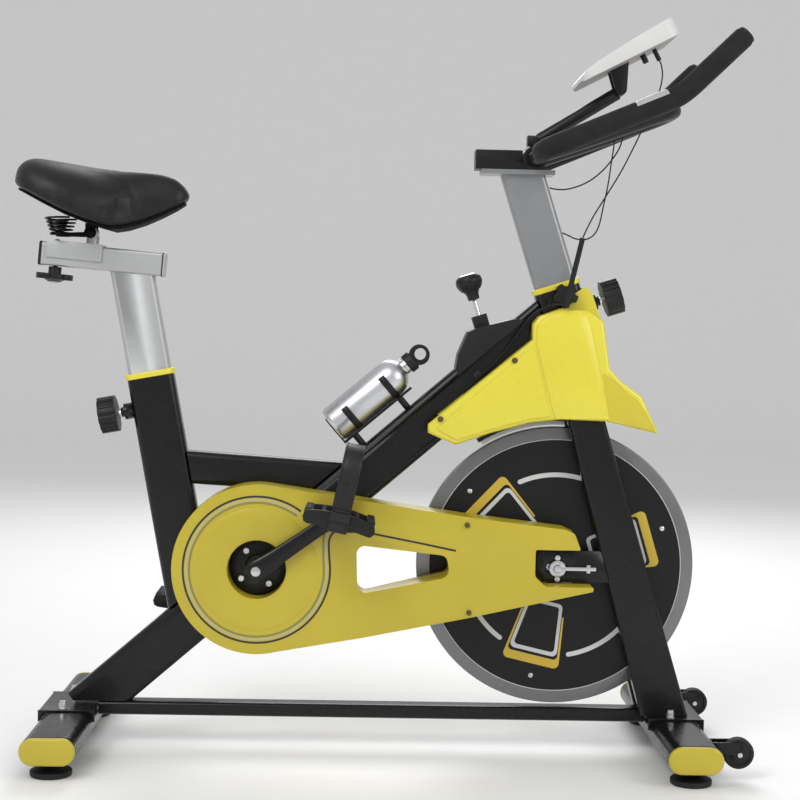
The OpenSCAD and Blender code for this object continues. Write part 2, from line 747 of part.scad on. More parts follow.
// Closed solid through stations; each section is flat below and domed above.
module lofted(st, n) {
  m = len(st);
  pts = [for (s = st, j = [0:n - 1])
    let (a = 180 * j / (n - 1), c = cos(a), q = sin(a))
    [s[0], s[3] * sign(c) * pow(abs(c), 0.7), s[2] + (s[1] - s[2]) * pow(q, 0.6)]];
  sides = [for (i = [0:m - 2], j = [0:n - 1])
    let (a = i * n + j, b = i * n + (j + 1) % n) each [[a, b, a + n], [b, b + n, a + n]]];
  first = [[for (j = [n - 1:-1:0]) j]];
  last = [[for (j = [0:n - 1]) (m - 1) * n + j]];
  polyhedron(points = pts, faces = concat(first, last, sides));
}

module saddle_cushion() color(black) lofted(stations, 17);

pan_t = 4;
// Stiff pan under the cushion, set in from its edge.
pan_stations = [for (s = stations) [s[0], s[2], s[2] - pan_t, s[3] * 0.9 - 3]];

module pan_solid() {
  st = [for (i = [1:len(pan_stations) - 2]) pan_stations[i]];
  m = len(st);
  pts = [for (s = st) each [[s[0], -s[3], s[1]], [s[0], s[3], s[1]], [s[0], s[3], s[2]], [s[0], -s[3], s[2]]]];
  sides = [for (i = [0:m - 2], j = [0:3])
    let (a = i * 4 + j, b = i * 4 + (j + 1) % 4) each [[a, b, a + 4], [b, b + 4, a + 4]]];
  polyhedron(points = pts, faces = concat([[3, 2, 1, 0]], [[for (j = [0:3]) (m - 1) * 4 + j]], sides));
}

spring_x = -553;
spring_y = 36;
spring_z0 = 883;
spring_z1 = 919;
// Pan, spring seats, tie bars and the ears that hold it to the pin.
module saddle_base() color(black) {
  pan_solid();
  for (s = [-1, 1]) {
    slab(s * 17.5 - 3, s * 17.5 + 3) {
      translate([-500, tilt_z]) circle(10);
      translate([-508, tilt_z]) square([16, 15.5]);
      polygon([[spring_x, spring_z0 - 4], [-500, 878], [-500, 886], [spring_x, spring_z0]]);
    }
    translate([spring_x, s * 28, spring_z0 - 4]) cylinder(h = 4, r = 13);
    translate([spring_x, s * spring_y, spring_z0 - 4]) cylinder(h = 5, r = 9);
  }
  rod_y(-500, tilt_z, -26, 26, 4);
}

// Two coil springs under the saddle's tail, wider at the top.
function coil(c, z0, z1, r0, r1, turns, steps) = [for (i = [0:turns * steps])
  let (t = i / (turns * steps), r = r0 + (r1 - r0) * t, a = 360 * i / steps)
  [c[0] + r * cos(a), c[1] + r * sin(a), z0 + (z1 - z0) * t]];
module saddle_springs() color(black) for (s = [-1, 1])
  sweep(coil([spring_x, s * spring_y], spring_z0 + 2, spring_z1 - 10, 11, 20, 4, 14), 1.8, 8, [0, 0, 1]);

// ---- Pop pins ----

module pop_pin(boss_end) {
  translate([0, 0, 37.2]) cylinder(h = boss_end - 15, r = 6 - run);
  translate([0, 0, boss_end + 0.4]) cylinder(h = 6, r = 9);
  translate([0, 0, boss_end + 13]) fluted_knob(31.5, 30);
}
module seat_pop_pin() color(black) along(seat_top, seat_lean) translate([0, 0, seat_pin_z])
  rotate([0, -90, 0]) pop_pin(seat_boss);
module bar_pop_pin() color(black) along(head_top, head_lean) translate([0, 0, bar_pin_z])
  rotate([0, 90, 0]) pop_pin(bar_boss);

// ---- Handlebar ----

post_top_z = 1000;
module bar_post() color(silver) {
  difference() {
    along(head_top, head_lean) translate([0, 0, -150]) tube(400, post_d, post_w, 9, 2);
    translate([100, -60, post_top_z]) cube([300, 120, 300]);
  }
  translate([166, -26, post_top_z]) cube([126, 52, 8]);
}

bar_x = 257;
bar_z = 1027;
// Stem box on the post's plate, with a double clamp around the bar.
module bar_stem() color(black) difference() {
  union() {
    translate([156, -22, post_top_z + 8]) cube([80, 44, 33]);
    for (y0 = [-24, 10]) rod_y(bar_x, bar_z, y0, y0 + 14, 21);
    translate([230, -22, post_top_z + 8]) cube([20, 44, 12]);
  }
  rod_y(bar_x, bar_z, -40, 40, bar_core_r + 0.1);
  translate([bar_x - 60, -60, post_top_z - 30]) cube([120, 120, 38]);
}

horn = [[257, -130, 1027], [258, -152, 1027.4], [263, -170, 1029.5], [272, -182, 1033],
  [284, -189, 1037.6], [298, -190, 1043], [455, -190, 1109.6], [468, -190, 1116],
  [480, -190, 1124.5], [492, -190, 1135], [575, -190, 1216]];
function flip(p) = [for (i = [len(p) - 1:-1:0]) [p[i][0], -p[i][1], p[i][2]]];
bar_path = concat(flip(horn), horn);
loop_half = [[257, -62, 1028], [300, -62, 1043], [345, -62, 1059], [400, -61, 1079], [440, -57, 1094],
  [470, -46, 1105], [488, -28, 1112], [494, -10, 1115]];

// Bar tube with its inner loop.
module handlebar() color(black) {
  difference() {
    sweep(bar_path, bar_core_r, 16, bar_ref);
    sweep(concat([[583, 190, 1224]], bar_path, [[583, -190, 1224]]), bar_core_r - tube_wall, 16, bar_ref);
  }
  difference() {
    sweep(concat(loop_half, flip(loop_half)), loop_r, 14, bar_ref);
    sweep(concat(loop_half, flip(loop_half)), loop_r - tube_wall, 14, bar_ref);
    rod_y(bar_x, bar_z, -120, 120, bar_core_r + 0.05);
  }
}

// Foam over the horns.
module bar_grips() color(black) for (s = [-1, 1]) mirror([0, s > 0 ? 1 : 0, 0]) difference() {
  sweep([for (p = horn) p], foam_r, 16, bar_ref);
  sweep(concat([[257, -120, 1027]], horn, [[583, -190, 1224]]), bar_core_r + 0.3, 16, bar_ref);
}

// Small star knob on the head tube's side.
module side_knob() color(black) along(head_top, head_lean) translate([8, -tube_w / 2, -14])
  rotate([90, 0, 0]) {
    translate([0, 0, -1.4]) cylinder(h = 14, r = 4 - run);
    translate([0, 0, 8.6]) star_knob(21, 14);
  }

// ---- Console ----

arm_foot = [266, 0, 1062];
arm_lean = 58;
arm_l = 156;
hinge_x = 403;
hinge_z = 1150;
// Support arm from the bar clamp up to the console's hinge.
module console_arm() color(black) difference() {
  union() {
    along(arm_foot, arm_lean) cylinder(h = arm_l, r = 11);
    translate([245, -9.7, 1046]) cube([34, 19.4, 22]);
    rod_y(hinge_x, hinge_z, -10, 10, 10);
  }
  rod_y(hinge_x, hinge_z, -30, 30, 4 + run);
  rod_y(bar_x, bar_z, -30, 30, 21.2);
  for (y0 = [-30, 10.2]) rod_y(hinge_x, hinge_z, y0, y0 + 19.8, 15);
}

case_foot = [330, 0, 1153];
case_tilt = -27.5;
// Console case on its hinge bracket.
module console_case() color([0.85, 0.85, 0.84]) {
  translate(case_foot) rotate([0, case_tilt, 0]) intersection() {
    slab(-75, 75) polygon([[0, 3], [4, 0], [180, 0], [186, 5], [186, 26], [181, 32], [116, 27.5],
      [40, 20], [14, 15], [2, 9]]);
    translate([93, 0, -10]) linear_extrude(60) rrect(186, 150, 24);
  }
  for (s = [-1, 1]) slab(s * 13 - 2.5, s * 13 + 2.5) {
    translate([hinge_x, hinge_z]) circle(10);
    polygon([[hinge_x - 10, hinge_z], [hinge_x + 10, hinge_z], [415, 1198], [383, 1182]]);
  }
  rod_y(hinge_x, hinge_z, -18, 18, 4);
}

// Two plugs in the console's underside.
module console_plugs() color(black) translate(case_foot) rotate([0, case_tilt, 0]) {
  translate([120, -22, -16]) cylinder(h = 16, r = 5);
  translate([142, -22, -22]) cylinder(h = 22, r = 4);
}

wire_r = 1.25;
// Signal wires from the inner loop to the handlebar post.
right_wire = [[404, -52.4, 1067.6], [402, -46, 1059], [399, -38, 1047], [391, -32, 1032], [376, -22, 1012],
  [357, -12, 995], [336, -4, 984], [314, 0, 978], [296, 0, 978], [286, 0, 980]];
left_wire = [[404, 52.4, 1067.6], [402, 47, 1054], [398, 38, 1034], [394, 31, 1008], [389, 24, 980],
  [382, 16, 950], [375, 8, 920], [366, 4, 902], [352, 2, 893], [335, 0, 893], [320, 0, 899], [310, 0, 903]];
module grip_wires() color(black) for (p = [right_wire, left_wire]) sweep(smooth(p, 2), wire_r, 8, wire_ref);

// Signal wire from the console's plug to the stiff sleeve.
drop_wire = [[466.1, -22, 1199], [470, -22, 1190], [472, -22, 1172], [467, -24, 1146], [454, -26, 1110],
  [439, -44.5, 1085], [424, -38, 1050], [402, -42, 1006], [376, -56, 964], [352, -66, 925],
  [336.3, -70, 892.1]];
module console_wire() color(black) sweep(smooth(drop_wire, 2), wire_r, 8, wire_ref);

// ---- Bottle ----

module bottle() color(silver) along(bottle_base, bottle_lean) rotate_extrude() polygon([
  [0, 0], [28, 0], [31.5, 3], [bottle_r, 7], [bottle_r, 128], [31, 138], [26, 147], [18, 154],
  [15, 157], [15, 166], [0, 166]]);

// Screw cap with a carrying loop.
module bottle_cap() color(black) along(bottle_base, bottle_lean) difference() {
  union() {
    translate([0, 0, 166.2]) cylinder(h = 14, r = 17);
    slab(-5, 5) translate([0, 180]) {
      translate([-14, -2]) square([28, 14]);
      translate([0, 14]) circle(18);
    }
  }
  slab(-8, 8) translate([0, 196]) circle(10);
}

// ---- Transport wheels ----

module wheel(s) wheel_place(s) difference() {
  union() {
    cylinder(h = 20, r = wheel_r - 1.5);
    translate([0, 0, 2]) cylinder(h = 16, r = wheel_r);
  }
  translate([0, 0, -1]) cylinder(h = 22, r = 4 + run);
}
module wheel_place(s) translate([wheel_x, s * wheel_y + 10, wheel_z]) rotate([90, 0, 0]) children();
module right_wheel() color(black) wheel(-1);
module left_wheel() color(black) wheel(1);

main_beam();
seat_tube();
top_tube();
head_tube();
fork_legs();
bottom_rail();
bottom_bracket();
axle_plates();
stabilisers();
stabiliser_caps();
stabiliser_brackets();
levelling_feet();
frame_bolts();
post_collars();
chain_cover();
chain_cover_back();
front_shroud();
beam_cover();
flywheel_axle();
chain();
bottle_cage();
beam_cable();
flywheel();
flywheel_discs();
flywheel_hub();
crank_spindle();
cranks();
chainring();
right_pedal();
left_pedal();
right_strap();
left_strap();
brake_rod();
tension_knob();
brake_pad();
brake_felt();
seat_post();
slider_tube();
slider_caps();
carriage();
slider_knob();
saddle_springs();
saddle_base();
saddle_cushion();
seat_pop_pin();
bar_pop_pin();
bar_post();
bar_stem();
handlebar();
bar_grips();
side_knob();
console_arm();
console_case();
console_plugs();
grip_wires();
console_wire();
bottle();
bottle_cap();
right_wheel();
left_wheel();
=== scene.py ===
import math
from contextlib import contextmanager

import bmesh
import bpy
from mathutils import Matrix, Vector


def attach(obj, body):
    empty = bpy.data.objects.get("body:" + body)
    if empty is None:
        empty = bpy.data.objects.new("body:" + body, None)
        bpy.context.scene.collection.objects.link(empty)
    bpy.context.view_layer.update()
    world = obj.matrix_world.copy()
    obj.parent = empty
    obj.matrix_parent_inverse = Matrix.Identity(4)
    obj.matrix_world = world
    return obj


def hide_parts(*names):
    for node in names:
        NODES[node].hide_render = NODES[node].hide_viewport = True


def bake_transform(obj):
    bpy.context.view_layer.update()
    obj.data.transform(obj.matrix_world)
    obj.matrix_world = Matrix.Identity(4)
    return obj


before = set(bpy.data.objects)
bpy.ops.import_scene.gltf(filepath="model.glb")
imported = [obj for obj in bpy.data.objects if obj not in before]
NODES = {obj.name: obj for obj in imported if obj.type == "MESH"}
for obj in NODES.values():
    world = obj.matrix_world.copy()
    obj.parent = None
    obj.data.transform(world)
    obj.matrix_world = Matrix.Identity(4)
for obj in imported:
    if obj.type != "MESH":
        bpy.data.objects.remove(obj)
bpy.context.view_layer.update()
scene = bpy.context.scene


# ---- Camera ----

def make_camera():
    data = bpy.data.cameras.new("camera")
    data.lens = 73.7
    data.sensor_width = 36
    data.clip_end = 50
    camera = bpy.data.objects.new("camera", data)
    scene.collection.objects.link(camera)
    yaw = Matrix.Rotation(math.radians(-1.5), 4, "Z")
    pitch = Matrix.Rotation(math.radians(90 - 2.72), 4, "X")
    roll = Matrix.Rotation(math.radians(1.2), 4, "Z")
    camera.matrix_world = Matrix.Translation((-0.039, -2.835, 0.743)) @ yaw @ pitch @ roll
    scene.camera = camera


# ---- Where things are ----

SIDES = ((-1, "right"), (1, "left"))
CRANK_TILT = math.radians(35.3)


def mm(*p):
    return Vector(p) / 1000


def shift(*p):
    """A move by p millimetres."""
    return Matrix.Translation(mm(*p))


def leaning(foot, degrees):
    """The frame of a part that stands on foot with its +Z leaning towards +X."""
    return Matrix.Translation(foot) @ Matrix.Rotation(math.radians(degrees), 4, "Y")


HUB = mm(310, 0, 326.5)
BB = mm(-203, 0, 321)
PEDAL_UP = mm(170 * math.cos(CRANK_TILT), 0, 170 * math.sin(CRANK_TILT))
HEAD = leaning(mm(302, 0, 805), -18)
SEAT = leaning(mm(-395, 0, 640), -10.8)


# ---- Mesh helpers: sizes in millimetres, places and lines of points in metres ----

def finish_normals(mesh, angle=40):
    mesh.shade_smooth()
    mesh.set_sharp_from_angle(angle=math.radians(angle))


def new_object(name, mesh, material, smooth_angle=35):
    obj = bpy.data.objects.new(name, mesh)
    scene.collection.objects.link(obj)
    mesh.materials.append(material)
    finish_normals(mesh, smooth_angle)
    return obj


@contextmanager
def editing(mesh):
    """The mesh as a bmesh, written back at the end."""
    bm = bmesh.new()
    bm.from_mesh(mesh)
    yield bm
    bm.to_mesh(mesh)
    bm.free()


def mesh_from(name, verts, faces):
    mesh = bpy.data.meshes.new(name)
    mesh.from_pydata([tuple(v) for v in verts], [], faces)
    mesh.validate()
    with editing(mesh) as bm:
        bmesh.ops.recalc_face_normals(bm, faces=bm.faces)
    return mesh


def skin(name, rings, material, smooth_angle, ends=True):
    """A closed skin over rings of points, each ring joined to the next, with its ends filled."""
    count = len(rings[0])
    faces = []
    for start in range(0, (len(rings) - 1) * count, count):
        for k in range(count):
            a, b = start + k, start + (k + 1) % count
            faces.append((a, b, b + count, a + count))
    if ends:
        last = (len(rings) - 1) * count
        faces += [tuple(range(count)), tuple(range(last, last + count))]
    verts = [point for ring in rings for point in ring]
    return new_object(name, mesh_from(name, verts, faces), material, smooth_angle)


def modify(obj, *modifiers, angle=40):
    """Applies modifiers given as (kind, settings), in order."""
    for kind, settings in modifiers:
        modifier = obj.modifiers.new(kind.lower(), kind)
        for key, value in settings.items():
            setattr(modifier, key, value)
    apply_modifiers(obj)
    finish_normals(obj.data, angle)


def apply_modifiers(obj):
    graph = bpy.context.evaluated_depsgraph_get()
    done = bpy.data.meshes.new_from_object(obj.evaluated_get(graph), depsgraph=graph)
    obj.modifiers.clear()
    obj.data = done


def round_edges(obj, width, segments=2, angle=40):
    settings = {"width": width / 1000, "segments": segments, "limit_method": "ANGLE",
                "angle_limit": math.radians(angle), "miter_outer": "MITER_ARC"}
    modify(obj, ("BEVEL", settings))


def set_parts(obj, body, nodes=()):
    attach(obj, body)
    if nodes:
        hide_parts(*nodes)
    return obj


def refined(node, body, material, width=1.2, segments=2, angle=35, keep=None):
    """A node's own shape with its flat faces joined up and its edges rounded."""
    mesh = NODES[node].data.copy()
    mesh.materials.clear()
    with editing(mesh) as bm:
        bmesh.ops.remove_doubles(bm, verts=bm.verts, dist=1e-6)
        if keep:
            out = [v for v in bm.verts if not keep(v.co)]
            bmesh.ops.delete(bm, geom=out, context="VERTS")
        bmesh.ops.dissolve_limit(bm, angle_limit=math.radians(0.6), verts=bm.verts, edges=bm.edges)
        bmesh.ops.recalc_face_normals(bm, faces=bm.faces)
    obj = new_object(node + "_shape", mesh, material, 30)
    if width:
        round_edges(obj, width, segments, angle)
    return set_parts(obj, body, [node])


def lathe(name, profile, place, material, sides=96):
    """A turned shape: profile is (radius, height) from one end of the axis to the other."""
    turns = [math.tau * i / sides for i in range(sides)]
    rings = [[place @ mm(r * math.cos(a), r * math.sin(a), z) for a in turns] for r, z in profile]
    obj = skin(name, rings, material, 28, ends=False)
    with editing(obj.data) as bm:
        bmesh.ops.remove_doubles(bm, verts=bm.verts, dist=1e-7)
        bmesh.ops.recalc_face_normals(bm, faces=bm.faces)
    finish_normals(obj.data, 28)
    return obj


def prism(name, outline, place, thickness, material, holes=(), bevel=0.0, segments=2):
    """An outline in local X and Y, given thickness along local +Z."""
    curve = bpy.data.curves.new(name, "CURVE")
    curve.dimensions = "2D"
    curve.fill_mode = "BOTH"
    for ring in [outline, *holes]:
        spline = curve.splines.new("POLY")
        spline.points.add(len(ring) - 1)
        for point, (x, y) in zip(spline.points, ring):
            point.co = (x / 1000, y / 1000, 0, 1)
        spline.use_cyclic_u = True
    curve.extrude = thickness / 2000
    temp = bpy.data.objects.new(name + "_c", curve)
    scene.collection.objects.link(temp)
    graph = bpy.context.evaluated_depsgraph_get()
    mesh = bpy.data.meshes.new_from_object(temp.evaluated_get(graph))
    bpy.data.objects.remove(temp)
    mesh.transform(place @ Matrix.Translation(mm(0, 0, thickness / 2)))
    with editing(mesh) as bm:
        bmesh.ops.remove_doubles(bm, verts=bm.verts, dist=1e-7)
        bmesh.ops.dissolve_limit(bm, angle_limit=0.01, verts=bm.verts, edges=bm.edges)
        bmesh.ops.recalc_face_normals(bm, faces=bm.faces)
    mesh.materials.clear()
    obj = new_object(name, mesh, material, 30)
    if bevel:
        round_edges(obj, bevel, segments)
    return obj


def spline_points(points, steps=6):
    """A smooth curve through points, with steps between each pair."""
    p = [Vector(q) for q in points]
    line = []
    for i in range(len(p) - 1):
        a, b, c, d = p[max(i - 1, 0)], p[i], p[i + 1], p[min(i + 2, len(p) - 1)]
        for k in range(steps):
            t = k / steps
            line.append(0.5 * (2 * b + (c - a) * t + (2 * a - 5 * b + 4 * c - d) * t * t
                               + (3 * b - a - 3 * c + d) * t ** 3))
    line.append(p[-1])
    return line


def smooth_mm(points):
    """A smooth curve through points in millimetres, as points in metres."""
    return [p / 1000 for p in spline_points(points)]


def direction(line, i):
    """Which way a line of points runs at its point i."""
    return (line[min(i + 1, len(line) - 1)] - line[max(i - 1, 0)]).normalized()


def tube(name, line, radius, material, sides=16):
    """A tube along line. radius is a number or a function of the share of the way along."""
    side = direction(line, 0).orthogonal().normalized()
    rings = []
    for i, point in enumerate(line):
        along = direction(line, i)
        side = (side - along * side.dot(along)).normalized()
        other = along.cross(side)
        r = (radius(i / (len(line) - 1)) if callable(radius) else radius) / 1000
        turns = [math.tau * k / sides for k in range(sides)]
        rings.append([point + r * (math.cos(a) * side + math.sin(a) * other) for a in turns])
    return skin(name, rings, material, 50)


def joined(name, objects):
    """Several new objects as one."""
    main = objects[0]
    bpy.ops.object.select_all(action="DESELECT")
    for o in objects:
        o.select_set(True)
    bpy.context.view_layer.objects.active = main
    if len(objects) > 1:
        bpy.ops.object.join()
    main.name = name
    return main


def round_outline(w, h, r, n=8):
    """Corner points of a rounded rectangle about the origin."""
    points = []
    for cx, cy, start in [(1, 1, 0), (-1, 1, 90), (-1, -1, 180), (1, -1, 270)]:
        for i in range(n + 1):
            a = math.radians(start + 90 * i / n)
            points.append((cx * (w / 2 - r) + r * math.cos(a), cy * (h / 2 - r) + r * math.sin(a)))
    return points


def arc_band(r0, r1, a0, a1, n=48):
    """Outline of a curved strip between two radii and two angles in degrees."""
    turn = [math.radians(a0 + (a1 - a0) * i / n) for i in range(n + 1)]
    outer = [(r1 * math.cos(a), r1 * math.sin(a)) for a in turn]
    inner = [(r0 * math.cos(a), r0 * math.sin(a)) for a in reversed(turn)]
    return outer + inner


def circle_outline(cx, cy, r, n=48):
    return [(cx + r * math.cos(math.tau * i / n), cy + r * math.sin(math.tau * i / n)) for i in range(n)]


def facing(side, centre):
    """Local X is +X, local Y is +Z and local Z points away from the middle on that side."""
    if side < 0:
        return Matrix.Translation(centre) @ Matrix.Rotation(math.radians(90), 4, "X")
    turn = Matrix(((1, 0, 0, 0), (0, 0, 1, 0), (0, 1, 0, 0), (0, 0, 0, 1)))
    return Matrix.Translation(centre) @ turn


# ---- Materials ----

class Nodes:
    """A short way to build a material's node tree."""

    def __init__(self, name):
        self.material = bpy.data.materials.new(name)
        self.material.use_nodes = True
        self.tree = self.material.node_tree
        self.where = self.add("ShaderNodeTexCoord").outputs["Object"]

    def feed(self, node, sockets):
        """Links each socket to another node's output, or sets it to a number, colour or vector."""
        for key, value in sockets.items():
            socket = node.inputs[key]
            if isinstance(value, bpy.types.NodeSocket):
                self.tree.links.new(value, socket)
            else:
                socket.default_value = (*value, 1) if socket.type == "RGBA" else value

    def add(self, kind, sockets=None, **values):
        node = self.tree.nodes.new(kind)
        for key, value in values.items():
            setattr(node, key, value)
        self.feed(node, sockets or {})
        return node

    def math(self, operation, a, b=None):
        sockets = {0: a} if b is None else {0: a, 1: b}
        return self.add("ShaderNodeVectorMath", sockets, operation=operation).outputs

    def noise(self, scale, detail=4.0, rough=0.55, stretch=None, turn=0.0):
        where = self.where
        if stretch:
            mapping = self.add("ShaderNodeMapping", {"Vector": where, "Rotation": (0, turn, 0),
                                                     "Scale": stretch})
            where = mapping.outputs["Vector"]
        sockets = {"Vector": where, "Scale": scale, "Detail": detail, "Roughness": rough}
        return self.add("ShaderNodeTexNoise", sockets).outputs["Fac"]

    def cells(self, scale, feature="F1"):
        sockets = {"Vector": self.where, "Scale": scale}
        return self.add("ShaderNodeTexVoronoi", sockets, feature=feature).outputs["Distance"]

    def ramp(self, value, low, high, low_to=0.0, high_to=1.0):
        sockets = {"Value": value, "From Min": low, "From Max": high, "To Min": low_to, "To Max": high_to}
        return self.add("ShaderNodeMapRange", sockets).outputs["Result"]

    def edges(self, width):
        """One along edges, zero on open faces."""
        rounded = self.add("ShaderNodeBevel", {"Radius": width}, samples=4).outputs["Normal"]
        true = self.add("ShaderNodeNewGeometry").outputs["Normal"]
        return self.ramp(self.math("DOT_PRODUCT", rounded, true)["Value"], 0.99, 0.8)

    def times(self, a, b):
        return self.add("ShaderNodeMath", {0: a, 1: b}, operation="MULTIPLY").outputs[0]

    def mix(self, share, a, b):
        # among the inputs of a colour mix, 6 and 7 are its two colours
        return self.add("ShaderNodeMix", {0: share, 6: a, 7: b}, data_type="RGBA").outputs[2]

    def bump(self, height, depth, strength=1.0, under=None):
        sockets = {"Height": height, "Distance": depth, "Strength": strength}
        if under is not None:
            sockets["Normal"] = under
        return self.add("ShaderNodeBump", sockets).outputs["Normal"]

    def finish(self, color, rough, normal, **more):
        """Feeds the shader, and gives the material. more holds socket names with _ for a space."""
        sockets = {"Base Color": color, "Roughness": rough, "Normal": normal}
        sockets.update({key.replace("_", " "): value for key, value in more.items()})
        self.feed(self.tree.nodes["Principled BSDF"], sockets)
        return self.material


def shade(color, factor):
    return tuple(min(1.0, c * factor) for c in color)


def surface(name, color, rough, metallic=0.0, spread=0.07, mottle=0.10, grain=1500.0, grain_depth=0.00006,
            wave=40.0, wave_depth=0.00025, wear=0.35, worn=None, coat=0.0, coat_rough=0.08, specular=0.5,
            dust=0.0):
    """A painted, moulded or metal surface with tone and gloss variation, fine grain and worn edges."""
    n = Nodes(name)
    tone = n.ramp(n.noise(9.0, 5.0), 0.3, 0.7)
    body = n.mix(tone, shade(color, 1 - mottle), shade(color, 1 + mottle * 0.6))
    fine = n.noise(grain, 3.0, 0.6)
    body = n.mix(n.ramp(fine, 0.35, 0.75, 0.0, mottle * 1.6), body, shade(color, 1.25))
    if wear:
        patches = n.ramp(n.noise(70.0, 6.0, 0.7), 0.45, 0.65)
        worn_color = worn or tuple(c * 0.6 + 0.16 for c in color)
        body = n.mix(n.ramp(n.times(n.edges(0.0012), patches), 0.0, 1.0, 0.0, wear), body, worn_color)
    if dust:
        settled = n.ramp(n.noise(24.0, 8.0, 0.75), 0.5, 0.8, 0.0, dust)
        body = n.mix(settled, body, (0.45, 0.44, 0.42))
    smear = n.ramp(n.noise(26.0, 7.0, 0.65), 0.3, 0.7, rough - spread * 0.6, rough + spread)
    normal = n.bump(fine, grain_depth, 0.7, n.bump(n.noise(wave, 2.0), wave_depth, 0.35))
    return n.finish(body, smear, normal, Metallic=metallic, Specular_IOR_Level=specular, Coat_Weight=coat,
                    Coat_Roughness=coat_rough)


def leather(name, color, rough):
    """Vinyl with a pebbled grain and soft creases."""
    n = Nodes(name)
    pebble = n.cells(620.0)
    crease = n.cells(240.0, "DISTANCE_TO_EDGE")
    tone = n.ramp(n.noise(14.0, 5.0), 0.3, 0.7)
    body = n.mix(tone, shade(color, 0.8), shade(color, 1.25))
    body = n.mix(n.ramp(pebble, 0.2, 0.7, 0.0, 0.25), body, shade(color, 0.45))
    gloss = n.ramp(n.noise(30.0, 6.0), 0.3, 0.7, rough - 0.06, rough + 0.1)
    normal = n.bump(n.ramp(crease, 0.0, 0.12), 0.00012, 0.35, n.bump(n.noise(22.0, 3.0), 0.0008, 0.3))
    return n.finish(body, gloss, n.bump(pebble, 0.00016, 0.5, normal), Sheen_Weight=0.04,
                    Specular_IOR_Level=0.34)


def foam(name, color, rough):
    """Closed-cell foam: open pores under a dull skin."""
    n = Nodes(name)
    pores = n.cells(1500.0)
    tone = n.ramp(n.noise(18.0, 5.0), 0.3, 0.7)
    body = n.mix(tone, shade(color, 0.82), shade(color, 1.3))
    # darkening in the pores is painted shade inside the pits
    body = n.mix(n.ramp(pores, 0.0, 0.35, 0.4, 0.0), body, shade(color, 0.3))
    gloss = n.ramp(n.noise(40.0, 5.0), 0.3, 0.7, rough - 0.08, rough + 0.08)
    normal = n.bump(pores, 0.00025, 0.6, n.bump(n.noise(160.0, 4.0), 0.0004, 0.35))
    return n.finish(body, gloss, normal, Sheen_Weight=0.03, Specular_IOR_Level=0.3)


def felt(name, color):
    """Pressed wool: tangled fibres."""
    n = Nodes(name)
    fibres = n.noise(1400.0, 8.0, 0.8, (1, 1, 3), 0.6)
    clumps = n.noise(260.0, 6.0, 0.7)
    body = n.mix(n.ramp(clumps, 0.3, 0.7), shade(color, 0.75), shade(color, 1.15))
    body = n.mix(n.ramp(fibres, 0.4, 0.6, 0.0, 0.5), body, shade(color, 1.3))
    normal = n.bump(fibres, 0.0004, 0.8, n.bump(clumps, 0.0008, 0.5))
    return n.finish(body, n.ramp(clumps, 0.3, 0.7, 0.85, 1.0), normal, Sheen_Weight=0.5)


def brushed(name, color, rough, centre=None, turn=0.0, streak=260.0):
    """Metal drawn in one direction or turned about centre, with fine streaks and handling marks."""
    n = Nodes(name)
    if centre is None:
        lines = n.noise(streak * 6, 6.0, 0.7, (0.02, 1, 1), turn)
    else:
        offset = n.math("SUBTRACT", n.where, (centre.x, 0, centre.z))[0]
        radius = n.math("LENGTH", n.math("MULTIPLY", offset, (1, 0, 1))[0])["Value"]
        sockets = {"W": radius, "Scale": streak * 5, "Detail": 6.0}
        lines = n.add("ShaderNodeTexNoise", sockets, noise_dimensions="1D").outputs["Fac"]
    body = n.mix(n.ramp(lines, 0.3, 0.7), shade(color, 0.84), shade(color, 1.12))
    body = n.mix(n.ramp(n.noise(10.0, 5.0), 0.35, 0.75, 0.0, 0.25), body, shade(color, 0.85))
    marks = n.ramp(n.noise(22.0, 8.0, 0.7), 0.3, 0.7, rough - 0.05, rough + 0.12)
    return n.finish(body, marks, n.bump(lines, 0.00003, 0.5), Metallic=1.0)


BLACK = surface("black_paint", (0.0045, 0.0045, 0.005), 0.26, coat=0.12, mottle=0.08, grain=500.0,
                grain_depth=0.00004, wave=60.0, wave_depth=0.00008, wear=0.35, worn=(0.12, 0.12, 0.13),
                specular=0.28)
SATIN_BLACK = surface("satin_black", (0.006, 0.006, 0.0066), 0.36, specular=0.32, mottle=0.1, grain=1400.0,
                      grain_depth=0.00012, wear=0.3)
DISC_BLACK = surface("disc_black", (0.005, 0.005, 0.0055), 0.34, specular=0.3, mottle=0.1, grain=1100.0,
                     grain_depth=0.00008)
YELLOW = surface("yellow_plastic", (0.50, 0.40, 0.022), 0.32, coat=0.25, coat_rough=0.2, mottle=0.07,
                 grain=1300.0, grain_depth=0.00005, worn=(0.85, 0.78, 0.35), wear=0.25)
LEMON = surface("lemon_plastic", (0.72, 0.63, 0.045), 0.28, coat=0.3, coat_rough=0.18, mottle=0.05,
                grain=1300.0, grain_depth=0.00004, worn=(0.9, 0.86, 0.42), wear=0.2)
PLASTIC = surface("black_plastic", (0.007, 0.007, 0.0075), 0.4, specular=0.34, mottle=0.12, grain=1700.0,
                  grain_depth=0.0002, wear=0.4)
RUBBER = surface("rubber", (0.009, 0.009, 0.009), 0.6, specular=0.35, mottle=0.15, grain=1200.0,
                 grain_depth=0.00025, dust=0.05, wear=0.3)
STRAP = surface("strap_plastic", (0.009, 0.009, 0.0095), 0.42, specular=0.4, mottle=0.12,
                grain_depth=0.0002)
# a darker copy of the shroud's yellow: painted shade for the fin's hollowed side
FIN_SHADE_YELLOW = surface("fin_painted_shade", (0.60, 0.50, 0.03), 0.32, coat=0.25, coat_rough=0.2, mottle=0.05,
                     grain=1300.0, grain_depth=0.00004, worn=(0.85, 0.78, 0.35), wear=0.2)
SILVER = surface("silver_paint", (0.27, 0.275, 0.285), 0.36, metallic=0.5, mottle=0.06, grain=2600.0,
                 grain_depth=0.00005, wear=0.25, worn=(0.6, 0.6, 0.6), coat=0.3, coat_rough=0.2)
